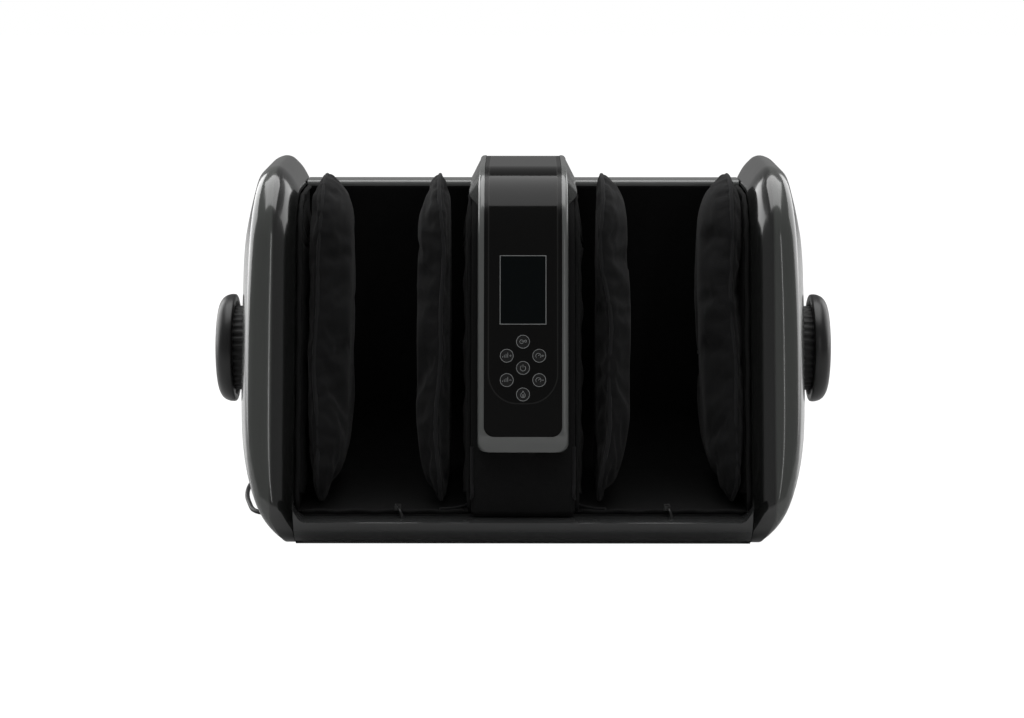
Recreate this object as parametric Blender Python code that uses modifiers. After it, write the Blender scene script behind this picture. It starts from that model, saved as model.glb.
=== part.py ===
# Foot and calf massager: two open leg wells between round side shells, a console
# between them, kneading pads on rocking wings, and a geared drive behind the wells.
# Metres, +Z up, the user sits at -Y. Side outlines are drawn in the YZ plane.

import math

import bmesh
import bpy
from mathutils import Matrix, Vector

# Overall sizes
knob_to_knob_width = 0.580
knob_stand_out = 0.0285
side_shell_width = 0.057
top_height = 0.335
foot_height = 0.005

# Side outline of the body: corner places along Y, and corner radii
toe_y = -0.2069
heel_y = 0.2187
crown_y = 0.130
brow_y = -0.118
toe_radius = 0.040
heel_radius = 0.085
crown_radius = 0.125
brow_radius = 0.080

# Fits between pieces
seat_gap = 0.0003
overrun = 0.004
weld_distance = 0.00001
least_corner_radius = 0.004

# Side shells
shell_wall = 0.0025
dome_inset = 0.112
rim_inset = 0.024
shell_top_drop = 0.0098
shell_bottom_drop = 0.044
shell_least_radius = 0.020

# Front lip
lip_drop = 0.0015
lip_round = 0.003

# Back cover, its rolled bar, and the console that stands on them
cover_inset = 0.021
cover_wall = 0.0025
bar_front_y = 0.0115
bar_length = 0.017
bar_depth = 0.013
bar_roll = 0.0043
arc_steps = 9

# Leg wells and the wall between them
liner_wall = 0.0025
well_inset = 0.026
well_floor_z = 0.0328
well_front_y = -0.1712
well_back_y = 0.052
well_back_top_y = 0.0095
well_back_radius = 0.045
well_front_radius = 0.002
divider_half_width = 0.0465
divider_front_radius = 0.004
divider_edge = 0.003

# Console
console_half_width = 0.0406
console_bottom_z = 0.0932
console_bevel = 0.004
console_wall = 0.003
console_tail_angle = math.radians(62)
console_tail_stations = 6
fascia_half_width = 0.0347
fascia_bottom_z = 0.1062
fascia_corner = 0.009
fascia_recess = 0.0006
fascia_thick = 0.0026
fascia_tail_angle = math.radians(30)
screen_width = 0.0415
screen_length = 0.062
screen_z = 0.2328
lens_thick = 0.0016
module_margin = 0.004
module_thick = 0.005

# Keys, by their height on the console face
key_radius = 0.0064
key_flange = 0.0010
key_flange_thick = 0.0010
key_edge = 0.0004
key_travel = 0.0006
key_side_x = 0.01444
key_mode_z = 0.1880
key_upper_z = 0.1759
key_power_z = 0.1654
key_lower_z = 0.1549
key_heat_z = 0.1426
board_thick = 0.0016
board_half_width = 0.0270
board_margin = 0.012
board_room = 0.0012
board_end = 0.0096
post_half_width = 0.0125
post_half_length = 0.012

# Pads and the wings inside them
outer_pad_inset = 0.0257
inner_pad_inset = 0.0332
outer_pad_thick = 0.038
inner_pad_thick = 0.030
pad_top_drop = 0.0096
pad_floor_gap = 0.0040
pad_front_inset = 0.022
pad_back_y = 0.010
pad_back_top_y = -0.012
pad_toe_radius = 0.034
pad_heel_radius = 0.040
pad_crown_radius = 0.022
pad_brow_radius = 0.060
pad_least_radius = 0.012
pad_depth = 0.070
wing_thick = 0.006
wing_arm_half = 0.020
wing_low_inset = 0.030
wing_high_inset = 0.052
wing_front_low_inset = 0.034
wing_front_high_inset = 0.040
wing_back_inset = 0.022
slot_half_width = 0.0105

# Drive
shaft_y = 0.105
shaft_z = 0.165
shaft_radius = 0.006
shaft_overhang = 0.0025
bush_radius = 0.020
bush_half_width = 0.004
bush_tilt = math.radians(2)
wing_running_gap = 0.0009
wing_eye_radius = 0.028
bearing_edge_inset = 0.0055
bearing_half_width = 0.005
bearing_half_height = 0.020
bearing_past_shaft = 0.014
block_edge = 0.002
gearbox_half_width = 0.022
gearbox_half_height = 0.034
gearbox_edge = 0.004
motor_radius = 0.021
motor_length = 0.072
chassis_thick = 0.0025
chassis_side_gap = 0.0070
chassis_top_z = 0.270

# Base
tray_wall = 0.003
tray_front_y = -0.1660
tray_back_y = 0.1076
foot_radius = 0.015
foot_inset = 0.0395
foot_front_y = -0.128
foot_back_y = 0.090
supply_half_width = 0.045
supply_length = 0.060
supply_height = 0.014

# Side knobs
hub_z = 0.155
hub_radius = 0.040
knob_radius = 0.051
knob_thick = 0.0175
knob_recess = 0.003
knob_rim = 0.007
stud_radius = 0.008
stud_length = 0.029
collar_radius = 0.016
collar_thick = 0.008

# Mains lead
cord_diameter = 0.0045
relief_edge_inset = 0.0445
relief_z = 0.045
relief_start_y = 0.1639
relief_length = 0.034
relief_radius = 0.0068
relief_tip_radius = 0.0034
coil_x = -0.060
coil_y = 0.255
coil_outer = 0.0325
coil_pitch = 0.0051
coil_layer = 0.0051
turns_in_layer = 3
points_in_turn = 24
plug_x = 0.0080
plug_length = 0.036
plug_half_width = 0.0126
plug_height = 0.0150
pin_radius = 0.0020
pin_length = 0.019
pin_spacing = 0.0095

# Places worked out from the sizes above
half_overall = knob_to_knob_width / 2
half_body = half_overall - knob_stand_out
well_edge_x = half_body - side_shell_width
stud_end_x = half_body - stud_length
outer_pad_x = well_edge_x - outer_pad_inset
inner_pad_x = divider_half_width + inner_pad_inset
pad_top_z = top_height - pad_top_drop
pad_bottom_z = well_floor_z + pad_floor_gap
chassis_half_width = well_edge_x - chassis_side_gap
bearing_x = chassis_half_width - bearing_edge_inset
shaft_half_length = bearing_x + shaft_overhang
foot_x = well_edge_x - foot_inset
relief_x = relief_edge_inset - well_edge_x
underside_z = foot_height
bore_radius = stud_radius + seat_gap
chassis_y = well_back_y + seat_gap
chassis_back_y = chassis_y + chassis_thick
console_depth = cover_inset - seat_gap
pocket_depth = fascia_recess + fascia_thick + seat_gap

body_corners = (
    (toe_y, underside_z, toe_radius),
    (heel_y, underside_z, heel_radius),
    (crown_y, top_height, crown_radius),
    (brow_y, top_height, brow_radius),
)
TOE, HEEL, CROWN, BROW = range(4)

# How far each ring of a side shell lies inside the outline, as a share of the
# dome's or the rim's inset, and how far out it stands, as a share of the rim width
dome_shares = (
    (1.00, 1.000),
    (0.76, 0.968),
    (0.535, 0.921),
    (0.31, 0.856),
    (0.16, 0.798),
    (0.08, 0.754),
    (0.033, 0.667),
    (0.009, 0.560),
)
rim_shares = (
    (0.00, 0.465),
    (0.042, 0.368),
    (0.146, 0.289),
    (0.458, 0.146),
    (1.00, 0.000),
)

# Outlines of turned pieces: shares of the radius, then of the length from the top
knob_shares = (
    (0.62, 0.03),
    (0.82, 0.12),
    (0.94, 0.34),
    (1.00, 0.68),
    (1.00, 0.92),
    (0.97, 1.00),
    (0.88, 1.00),
)
foot_shares = ((0.90, 0.0), (1.00, 0.4), (0.86, 1.0))
motor_shares = ((0.72, 0.0), (0.72, 0.09), (1.00, 0.13), (1.00, 0.94), (0.90, 1.0))

# The relief's taper: shares of its length from the tip, and of the way from the
# tip's radius to the full one
relief_shares = ((0.00, 0.00), (0.35, 0.15), (0.85, 0.80), (1.00, 1.00))

# The plug's sections: shares of its length, half width and half height
plug_shares = (
    (0.00, 0.42, 0.55),
    (0.25, 0.62, 0.75),
    (0.55, 0.95, 0.95),
    (0.85, 1.00, 1.00),
    (1.00, 0.94, 0.92),
)

# A pad's rings: shares of the pad's depth drawn in, and of its thickness out
pad_ring_shares = ((0.0, 0.12), (0.04, 0.42), (0.13, 0.66), (0.30, 0.86), (0.62, 1.0))
calf_side_share = 0.60


def remove_everything():
    for item in list(bpy.data.objects):
        bpy.data.objects.remove(item, do_unlink=True)
    for group in list(bpy.data.collections):
        bpy.data.collections.remove(group)


remove_everything()
parts = bpy.data.collections.new("foot_massager")
cutters = bpy.data.collections.new("cutters")
bpy.context.scene.collection.children.link(parts)
bpy.context.scene.collection.children.link(cutters)


def make_material(name, colour, roughness, metallic=0.0):
    material = bpy.data.materials.new(name)
    material.use_nodes = True
    shader = material.node_tree.nodes["Principled BSDF"]
    shader.inputs["Base Color"].default_value = (*colour, 1.0)
    shader.inputs["Roughness"].default_value = roughness
    shader.inputs["Metallic"].default_value = metallic
    return material


grey_gloss = make_material("grey_gloss", (0.085, 0.088, 0.085), 0.22)
black_gloss = make_material("black_gloss", (0.012, 0.012, 0.012), 0.08)
black_plastic = make_material("black_plastic", (0.022, 0.022, 0.023), 0.45)
well_fabric = make_material("well_fabric", (0.010, 0.010, 0.011), 0.95)
pad_fabric = make_material("pad_fabric", (0.030, 0.030, 0.032), 0.90)
screen_glass = make_material("screen_glass", (0.015, 0.020, 0.024), 0.05)
key_plastic = make_material("key_plastic", (0.014, 0.014, 0.015), 0.20)
board_green = make_material("board_green", (0.020, 0.110, 0.050), 0.50)
steel = make_material("steel", (0.520, 0.520, 0.530), 0.32, 1.0)
nylon = make_material("nylon", (0.620, 0.600, 0.560), 0.55)
motor_metal = make_material("motor_metal", (0.300, 0.300, 0.310), 0.40, 1.0)
rubber = make_material("rubber", (0.018, 0.018, 0.018), 0.85)
cord_rubber = make_material("cord_rubber", (0.015, 0.015, 0.015), 0.60)


def add_part(name, data, material):
    thing = bpy.data.objects.new(name, data)
    data.materials.append(material)
    parts.objects.link(thing)
    return thing


def make_cutter(thing):
    """Takes an object out of the parts and shows it as a wire guide."""
    for group in list(thing.users_collection):
        group.objects.unlink(thing)
    cutters.objects.link(thing)
    thing.hide_render = True
    thing.display_type = "WIRE"
    return thing


def finish_mesh(form, name):
    bmesh.ops.recalc_face_normals(form, faces=form.faces)
    data = bpy.data.meshes.new(name)
    form.to_mesh(data)
    form.free()
    return data


def cut(thing, tool, operation="DIFFERENCE"):
    step = thing.modifiers.new("boolean_" + tool.name, "BOOLEAN")
    step.operation = operation
    step.solver = "EXACT"
    step.object = tool


def soften(thing, width, segments=2, angle=40):
    step = thing.modifiers.new("bevel", "BEVEL")
    step.width = width
    step.segments = segments
    step.limit_method = "ANGLE"
    step.angle_limit = math.radians(angle)


def applied(thing):
    """The object again as a plain mesh, with its modifiers and curve worked in."""
    graph = bpy.context.evaluated_depsgraph_get()
    data = bpy.data.meshes.new_from_object(thing.evaluated_get(graph))
    form = bmesh.new()
    form.from_mesh(data)
    bmesh.ops.remove_doubles(form, verts=form.verts, dist=weld_distance)
    bmesh.ops.recalc_face_normals(form, faces=form.faces)
    form.to_mesh(data)
    form.free()
    place = thing.matrix_world.copy()
    name = thing.name
    group = thing.users_collection[0]
    bpy.data.objects.remove(thing, do_unlink=True)
    fresh = bpy.data.objects.new(name, data)
    fresh.matrix_world = place
    group.objects.link(fresh)
    return fresh


def smooth(thing, angle=35):
    thing.data.shade_smooth()
    thing.data.set_sharp_from_angle(angle=math.radians(angle))
    return thing


# Outlines

def inset_corners(corners, inset):
    """Corner points of an outline, drawn anticlockwise, once its edges move in."""
    points = [Vector(corner[:2]) for corner in corners]
    edges = []
    for index, point in enumerate(points):
        along = (points[(index + 1) % len(points)] - point).normalized()
        inward = Vector((-along.y, along.x))
        edges.append((point + inward * inset, along))
    moved = []
    for index in range(len(points)):
        before, before_along = edges[index - 1]
        after, after_along = edges[index]
        turn = before_along.cross(after_along)
        reach = (after - before).cross(after_along) / turn
        moved.append(before + before_along * reach)
    return moved


def corner_arc(before, point, after, radius, steps):
    """Points round one corner; a corner that turns inwards stays sharp."""
    arriving = (point - before).normalized()
    leaving = (after - point).normalized()
    turn = math.atan2(arriving.cross(leaving), arriving.dot(leaving))
    if turn <= 0 or radius <= 0:
        return [point.copy()]
    inward = Vector((-arriving.y, arriving.x))
    start = point - arriving * radius * math.tan(turn / 2)
    centre = start + inward * radius
    spoke = start - centre
    arc = []
    for step in range(steps + 1):
        angle = turn * step / steps
        arc.append(centre + Matrix.Rotation(angle, 2) @ spoke)
    return arc


def outline(corners, inset=0.0, steps=6, least_radius=least_corner_radius):
    moved = inset_corners(corners, inset)
    points = []
    for index, point in enumerate(moved):
        radius = corners[index][2]
        if radius > 0:
            radius = max(radius - inset, least_radius)
        after = moved[(index + 1) % len(moved)]
        points += corner_arc(moved[index - 1], point, after, radius, steps)
    return points


def front_y(height, inset=0.0):
    """How far forward the sloping front of the body lies at a height."""
    moved = inset_corners(body_corners, inset)
    share = (height - moved[TOE].y) / (moved[BROW].y - moved[TOE].y)
    return moved[TOE].x + (moved[BROW].x - moved[TOE].x) * share


front_lean = math.atan2(brow_y - toe_y, top_height - underside_z)
face_out = Vector((0.0, -math.cos(front_lean), math.sin(front_lean)))
face_up = Vector((0.0, math.sin(front_lean), math.cos(front_lean)))


def face_frame(x, height, inset):
    """Placement on the console face: local X across, Y up the face, Z out of it."""
    across = Vector((1.0, 0.0, 0.0))
    place = Matrix((across, face_up, face_out)).transposed().to_4x4()
    inward = face_out * -inset
    place.translation = Vector((x, front_y(height), height)) + inward
    return place


def top_path(start_z, tail_angle):
    """Stations from the front, over the brow and top, and down the crown."""
    stations = []
    inward = Vector((math.cos(front_lean), -math.sin(front_lean)))
    corners = inset_corners(body_corners, 0.0)
    brow = corner_arc(corners[CROWN], corners[BROW], corners[TOE], brow_radius,
                      arc_steps)
    brow.reverse()
    crown = corner_arc(corners[HEEL], corners[CROWN], corners[BROW], crown_radius,
                       arc_steps)
    crown.reverse()
    start = Vector((front_y(start_z), start_z))
    for share in (0.0, 0.25, 0.5, 0.75):
        stations.append((start.lerp(brow[0], share), inward))
    brow_centre = Vector((brow[-1].x, top_height - brow_radius))
    for point in brow:
        stations.append((point, (brow_centre - point).normalized()))
    crown_centre = Vector((crown[0].x, top_height - crown_radius))
    last = round(arc_steps * tail_angle / crown_sweep())
    for point in crown[: last + 1]:
        stations.append((point, (crown_centre - point).normalized()))
    return stations


def crown_sweep():
    lean = math.atan2(heel_y - crown_y, top_height - underside_z)
    return math.pi / 2 - lean


# Solids

def loft(name, rings, material, closed_ends=True):
    """A body through rings of equal point counts, given as lists of vectors."""
    form = bmesh.new()
    rows = [[form.verts.new(point) for point in ring] for ring in rings]
    count = len(rows[0])
    for low, high in zip(rows, rows[1:]):
        for index in range(count):
            after = (index + 1) % count
            form.faces.new((low[index], low[after], high[after], high[index]))
    form.faces.new(list(reversed(rows[0])))
    if closed_ends:
        form.faces.new(rows[-1])
    return add_part(name, finish_mesh(form, name), material)


def plate(name, points, low_x, high_x, material):
    """A flat outline in the YZ plane, given a thickness along X."""
    data = bpy.data.curves.new(name, "CURVE")
    data.dimensions = "2D"
    data.fill_mode = "BOTH"
    data.extrude = (high_x - low_x) / 2
    line = data.splines.new("POLY")
    line.points.add(len(points) - 1)
    for knot, point in zip(line.points, points):
        knot.co = (point.x, point.y, 0.0, 1.0)
    line.use_cyclic_u = True
    thing = add_part(name, data, material)
    turn = Matrix(((0, 0, 1), (1, 0, 0), (0, 1, 0))).to_4x4()
    turn.translation = Vector(((low_x + high_x) / 2, 0.0, 0.0))
    thing.matrix_world = turn
    bpy.context.view_layer.update()
    return applied(thing)


def block(name, low, high, material, edge=0.0):
    low = Vector(low)
    high = Vector(high)
    size = high - low
    form = bmesh.new()
    bmesh.ops.create_cube(form, size=1.0)
    bmesh.ops.scale(form, vec=size, verts=form.verts)
    thing = add_part(name, finish_mesh(form, name), material)
    thing.location = (low + high) / 2
    if edge > 0:
        soften(thing, edge)
    return thing


def turned(name, profile, place, material, steps=24):
    """A profile of (radius, height) pairs, top to bottom, turned round local Z."""
    form = bmesh.new()
    row = [form.verts.new((radius, 0.0, height)) for radius, height in profile]
    for above, below in zip(row, row[1:]):
        form.edges.new((above, below))
    data = bpy.data.meshes.new(name)
    form.to_mesh(data)
    form.free()
    thing = add_part(name, data, material)
    spin = thing.modifiers.new("turn", "SCREW")
    spin.steps = steps
    spin.render_steps = steps
    spin.use_merge_vertices = True
    spin.merge_threshold = weld_distance * 2
    spin.use_normal_calculate = True
    thing.matrix_world = place
    bpy.context.view_layer.update()
    return applied(thing)


def rod(name, radius, low, high, place, material, steps=24):
    profile = ((0.0, high), (radius, high), (radius, low), (0.0, low))
    return turned(name, profile, place, material, steps)


def ring_profile(inner, outer, low, high):
    return ((inner, high), (outer, high), (outer, low), (inner, low), (inner, high))


def facing(side, x, y, z):
    """Local Z along +X on the right (side 1) and along -X on the left (side -1)."""
    place = Matrix.Rotation(side * math.pi / 2, 4, "Y")
    place.translation = Vector((x, y, z))
    return place


def upright(x, y, z):
    return Matrix.Translation(Vector((x, y, z)))


def tube(name, points, radius, material, resolution=2):
    data = bpy.data.curves.new(name, "CURVE")
    data.dimensions = "3D"
    data.bevel_depth = radius
    data.bevel_resolution = resolution
    data.use_fill_caps = True
    line = data.splines.new("POLY")
    line.points.add(len(points) - 1)
    for knot, point in zip(line.points, points):
        knot.co = (*point, 1.0)
    thing = add_part(name, data, material)
    bpy.context.view_layer.update()
    return smooth(applied(thing))


# Side shells

def shell_width(inset, height):
    """The width left at a height: the shell draws in above, and tucks in below."""
    middle_z = (top_height + underside_z) / 2
    rise = (height - middle_z) / (top_height - middle_z)
    drop = shell_top_drop * rise ** 2 if rise > 0 else shell_bottom_drop * rise ** 4
    return side_shell_width - drop * (1 - (inset / dome_inset) ** 2)


def side_shell(side, name):
    rings = [(inset * dome_inset, out) for inset, out in dome_shares]
    rings += [(inset * rim_inset, out) for inset, out in rim_shares]
    form_rings = []
    for inset, out in rings:
        ring = []
        for point in outline(body_corners, inset, steps=7,
                             least_radius=shell_least_radius):
            x = well_edge_x + out * shell_width(inset, point.y)
            ring.append(Vector((side * x, point.x, point.y)))
        form_rings.append(ring)
    shell = loft(name, form_rings, grey_gloss, closed_ends=False)
    form = bmesh.new()
    form.from_mesh(shell.data)
    cap = min(form.faces, key=lambda face: abs(face.normal.x) * -face.calc_area())
    if cap.normal.x * side < 0:
        bmesh.ops.reverse_faces(form, faces=form.faces)
    form.to_mesh(shell.data)
    form.free()
    wall = shell.modifiers.new("wall", "SOLIDIFY")
    wall.thickness = shell_wall
    wall.offset = -1.0
    hole = rod(name + "_bore", bore_radius, -dome_inset, dome_inset,
               facing(side, side * half_body, 0.0, hub_z), grey_gloss)
    cut(shell, make_cutter(hole))
    return smooth(shell, 40)


# Knobs

def side_knob(side, hand):
    """A hand knob whose stud passes the hub and the shell into a clamped collar."""
    place = facing(side, 0.0, 0.0, hub_z)
    recess_x = half_overall - knob_thick + knob_recess
    knob_profile = [(0.0, half_overall)]
    for radius_share, depth_share in knob_shares:
        knob_profile.append((knob_radius * radius_share,
                             half_overall - knob_thick * depth_share))
    knob_profile += [
        (knob_radius - knob_rim, recess_x),
        (stud_radius, recess_x),
        (stud_radius, stud_end_x),
        (0.0, stud_end_x),
    ]
    smooth(turned(hand + "_knob", knob_profile, place, black_plastic, 24))
    hub = ring_profile(bore_radius, hub_radius, half_body + seat_gap, recess_x - seat_gap)
    smooth(turned(hand + "_knob_hub", hub, place, black_plastic, 24))
    collar_out = half_body - shell_wall - seat_gap
    collar = ring_profile(bore_radius, collar_radius, collar_out - collar_thick, collar_out)
    smooth(turned(hand + "_knob_collar", collar, place, steel, 20))


for hand, side in (("left", -1), ("right", 1)):
    side_shell(side, hand + "_side_shell")
    side_knob(side, hand)


# Lip, back cover and base

def front_lip():
    """The low bar at the front, with its nose rounded like the side shells."""
    corners = inset_corners(body_corners, seat_gap)
    arc = corner_arc(corners[BROW], corners[TOE], corners[HEEL],
                     toe_radius - seat_gap, 12)
    inner_y = tray_front_y - seat_gap
    nose = [point for point in arc if point.x < inner_y and point.y < well_floor_z]
    top_z = well_floor_z - lip_drop
    crest = Vector((nose[0].x + lip_round, top_z))
    ledge = Vector((inner_y - lip_round, top_z))
    back_top = Vector((inner_y, top_z - lip_round / 2))
    back_low = Vector((inner_y, underside_z + seat_gap))
    points = nose + [back_low, back_top, ledge, crest]
    reach = well_edge_x - seat_gap
    return smooth(plate("front_lip", points, -reach, reach, grey_gloss))


def back_cover():
    """The round back, from the rolled bar at the wells down to the tray."""
    corners = inset_corners(body_corners, cover_inset)
    crown = corner_arc(corners[HEEL], corners[CROWN], corners[BROW],
                       crown_radius - cover_inset, arc_steps)
    heel = corner_arc(corners[TOE], corners[HEEL], corners[CROWN],
                      heel_radius - cover_inset, arc_steps)
    heel.insert(0, Vector((tray_back_y - tray_wall, underside_z + cover_inset)))
    inner = inset_corners(body_corners, cover_inset + cover_wall)
    inner_crown = corner_arc(inner[HEEL], inner[CROWN], inner[BROW],
                             crown_radius - cover_inset - cover_wall, arc_steps)
    inner_heel = corner_arc(inner[TOE], inner[HEEL], inner[CROWN],
                            heel_radius - cover_inset - cover_wall, arc_steps)
    inner_heel.insert(0, Vector((tray_back_y - tray_wall,
                                 underside_z + cover_inset + cover_wall)))
    top_z = top_height - cover_inset
    bar_back_y = bar_front_y + bar_length
    bar_top = Vector((bar_front_y, top_z))
    bar_low = Vector((bar_front_y, top_z - bar_depth))
    bar_heel = Vector((bar_back_y, top_z - bar_depth))
    bar = corner_arc(Vector((bar_back_y, top_z)), bar_top, bar_low, bar_roll, 3)
    bar += corner_arc(bar_top, bar_low, bar_heel, bar_roll, 3)
    bar += [bar_heel, Vector((bar_back_y, top_z - cover_wall))]
    inner_crown = [point for point in inner_crown if point.x > bar_back_y + cover_wall]
    crown = [point for point in crown if point.x > bar_front_y + bar_roll * 2]
    points = heel + crown + bar + list(reversed(inner_crown)) + list(reversed(inner_heel))
    reach = well_edge_x - seat_gap
    cover = plate("back_cover", points, -reach, reach, grey_gloss)
    hole = rod("relief_hole", relief_radius + seat_gap, -overrun, relief_length,
               relief_place(), grey_gloss, 16)
    cut(cover, make_cutter(hole))
    return smooth(cover)


def relief_place():
    """Local Z points straight back, out of the cover."""
    place = Matrix.Rotation(-math.pi / 2, 4, "X")
    place.translation = Vector((relief_x, relief_start_y - relief_length / 2, relief_z))
    return place


def base_tray():
    """The pan that carries the wells; its back is lower, under the back cover."""
    low = (-well_edge_x + seat_gap, tray_front_y, underside_z + seat_gap)
    high = (well_edge_x - seat_gap, tray_back_y, well_floor_z - seat_gap)
    tray = block("base_tray", low, high, black_plastic)
    inside_low = (low[0] + tray_wall, low[1] + tray_wall, low[2] + tray_wall)
    inside_high = (high[0] - tray_wall, high[1] - tray_wall, high[2] + overrun)
    pocket = block("tray_pocket", inside_low, inside_high, black_plastic)
    cut(tray, make_cutter(pocket))
    step_low = (low[0] - overrun, well_back_y, underside_z + cover_inset - seat_gap)
    step_high = (high[0] + overrun, high[1] + overrun, high[2] + overrun)
    cut(tray, make_cutter(block("tray_step", step_low, step_high, black_plastic)))
    return tray


def feet():
    places = (("front", foot_front_y), ("back", foot_back_y))
    profile = [(0.0, foot_height)]
    for radius_share, drop_share in foot_shares:
        profile.append((foot_radius * radius_share, foot_height * (1 - drop_share)))
    profile.append((0.0, 0.0))
    for hand, side in (("left", -1), ("right", 1)):
        for end, y in places:
            place = upright(side * foot_x, y, 0.0)
            smooth(turned(hand + "_" + end + "_foot", profile, place, rubber, 20))


front_lip()
back_cover()
base_tray()
feet()


# Wells and the wall between them

well_corners = (
    (well_front_y, well_floor_z, well_front_radius),
    (well_back_y, well_floor_z, well_back_radius),
    (well_back_top_y, top_height - well_inset, 0.0),
    (inset_corners(body_corners, well_inset)[BROW].x, top_height - well_inset,
     brow_radius - well_inset),
)


def well_liner(side, hand):
    """A fabric-lined pan with a floor, two sides and a back, open above and in front."""
    near = side * (divider_half_width + seat_gap)
    far = side * (well_edge_x - seat_gap)
    low_x = min(near, far)
    high_x = max(near, far)
    liner = plate(hand + "_well_liner", outline(well_corners, 0.0, 8), low_x, high_x,
                  well_fabric)
    inner = outline(well_corners, liner_wall, 8)
    open_corners = inset_corners(well_corners, liner_wall)
    floor_front = open_corners[0]
    wall_top = open_corners[2]
    back = [point for point in inner if point.x > floor_front.x + liner_wall
            and point.y < wall_top.y - liner_wall and point.x > 0.0]
    room = [Vector((floor_front.x - well_inset, floor_front.y))]
    room += back
    room += [wall_top, Vector((wall_top.x, wall_top.y + well_inset)),
             Vector((floor_front.x - well_inset, wall_top.y + well_inset))]
    space = plate(hand + "_well_room", room, low_x + liner_wall, high_x - liner_wall,
                  well_fabric)
    cut(liner, make_cutter(space))
    for pad_x in (inner_pad_x, outer_pad_x):
        slot = arm_slot(side * pad_x, hand + "_liner_slot_%d" % round(pad_x * 1000))
        cut(liner, slot)
    return liner


def arm_slot(x, name):
    low = (x - slot_half_width, 0.0, shaft_z - wing_arm_half - overrun / 2)
    high = (x + slot_half_width, shaft_y, shaft_z + wing_arm_half + overrun / 2)
    return make_cutter(block(name, low, high, well_fabric))


def divider_cover():
    """The fabric-covered wall between the wells, behind the console."""
    front = console_depth + seat_gap
    corners = (
        (front_y(well_floor_z, front), well_floor_z, divider_front_radius),
        (well_back_y, well_floor_z, well_back_radius),
        (well_back_top_y, top_height - front, 0.0),
        (inset_corners(body_corners, front)[BROW].x, top_height - front,
         brow_radius - front),
    )
    cover = plate("divider_cover", outline(corners, 0.0, 8), -divider_half_width,
                  divider_half_width, well_fabric)
    soften(cover, divider_edge, 2, 60)
    return smooth(cover, 50)


for hand, side in (("left", -1), ("right", 1)):
    well_liner(side, hand)
divider_cover()


# Console

def band(name, stations, half_width, outer, inner, material):
    """A strip laid along the stations; widths and insets may change on the way."""
    rings = []
    for index, (point, inward) in enumerate(stations):
        reach = half_width(index)
        top = point + inward * outer(index)
        low = point + inward * inner
        rings.append([
            Vector((-reach, top.x, top.y)),
            Vector((reach, top.x, top.y)),
            Vector((reach, low.x, low.y)),
            Vector((-reach, low.x, low.y)),
        ])
    return loft(name, rings, material)


def rounded_ends(stations, radius, count=5):
    """Adds stations at both ends, so that a strip can take round corners there."""
    lead = []
    tail = []
    first, first_in = stations[0]
    along = (stations[1][0] - first).normalized()
    last, last_in = stations[-1]
    back = (stations[-2][0] - last).normalized()
    for step in range(count + 1):
        drawn = radius * (1 - math.cos(math.pi / 2 * step / count))
        lead.append((first + along * drawn, first_in))
        tail.append((last + back * drawn, last_in))
    lead_widths = [radius * (1 - math.sin(math.pi / 2 * step / count))
                   for step in range(count + 1)]
    middle = [s for s in stations[1:-1]
              if (s[0] - first).length > radius and (s[0] - last).length > radius]
    widths = lead_widths + [0.0] * len(middle) + list(reversed(lead_widths))
    return lead + middle + list(reversed(tail)), widths


def strip(name, grow, outer, inner, material):
    """The fascia's outline, or its pocket when it is grown."""
    path = top_path(fascia_bottom_z - grow, fascia_tail_angle)
    stations, widths = rounded_ends(path, fascia_corner + grow)

    def half_width(index):
        return fascia_half_width + grow - widths[index]

    return band(name, stations, half_width, lambda index: outer, inner, material)


def console_frame():
    """The long curved bar; its tail sinks into the back cover."""
    path = top_path(console_bottom_z, console_tail_angle)
    start = len(path) - 1 - console_tail_stations

    def sink(index):
        share = max(0.0, (index - start) / console_tail_stations)
        return (console_depth - console_wall / 2) * share * share

    def half_width(index):
        return console_half_width

    frame = band("console_frame", path, half_width, sink, console_depth, grey_gloss)
    soften(frame, console_bevel, 3, 50)
    pocket = strip("fascia_pocket", seat_gap, -overrun, pocket_depth, grey_gloss)
    cut(frame, make_cutter(pocket))
    low = key_heat_z - board_margin
    high = screen_z + screen_length / 2 + module_margin
    middle = (low + high) / 2
    length = (high - low) / math.cos(front_lean)
    room = face_block("console_room", 0.0, middle, board_half_width + board_room,
                      length / 2 + board_room, -console_depth - overrun,
                      -pocket_depth + overrun, grey_gloss)
    cut(frame, make_cutter(room))
    return smooth(frame, 40)


def face_block(name, x, height, half_width, half_length, low, high, material):
    """A box on the console face, low and high along the face's outward line."""
    form = bmesh.new()
    bmesh.ops.create_cube(form, size=1.0)
    size = Vector((half_width * 2, half_length * 2, high - low))
    bmesh.ops.scale(form, vec=size, verts=form.verts)
    bmesh.ops.translate(form, vec=Vector((0.0, 0.0, (low + high) / 2)), verts=form.verts)
    thing = add_part(name, finish_mesh(form, name), material)
    thing.matrix_world = face_frame(x, height, 0.0)
    return thing


keys = (
    ("key_mode", 0.0, key_mode_z),
    ("key_left_strength", -key_side_x, key_upper_z),
    ("key_right_speed", key_side_x, key_upper_z),
    ("key_power", 0.0, key_power_z),
    ("key_left_calf", -key_side_x, key_lower_z),
    ("key_right_foot", key_side_x, key_lower_z),
    ("key_heat", 0.0, key_heat_z),
)


def panel_fascia():
    fascia = strip("panel_fascia", 0.0, fascia_recess, fascia_recess + fascia_thick,
                   black_gloss)
    window = face_block("screen_window", 0.0, screen_z, screen_width / 2 + seat_gap,
                        screen_length / 2 + seat_gap, -overrun * 2, overrun, black_gloss)
    cut(fascia, make_cutter(window))
    for name, x, height in keys:
        hole = rod(name + "_hole", key_radius + seat_gap, -overrun * 2, overrun,
                   face_frame(x, height, 0.0), black_gloss, 16)
        cut(fascia, make_cutter(hole))
    return smooth(fascia, 30)


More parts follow.
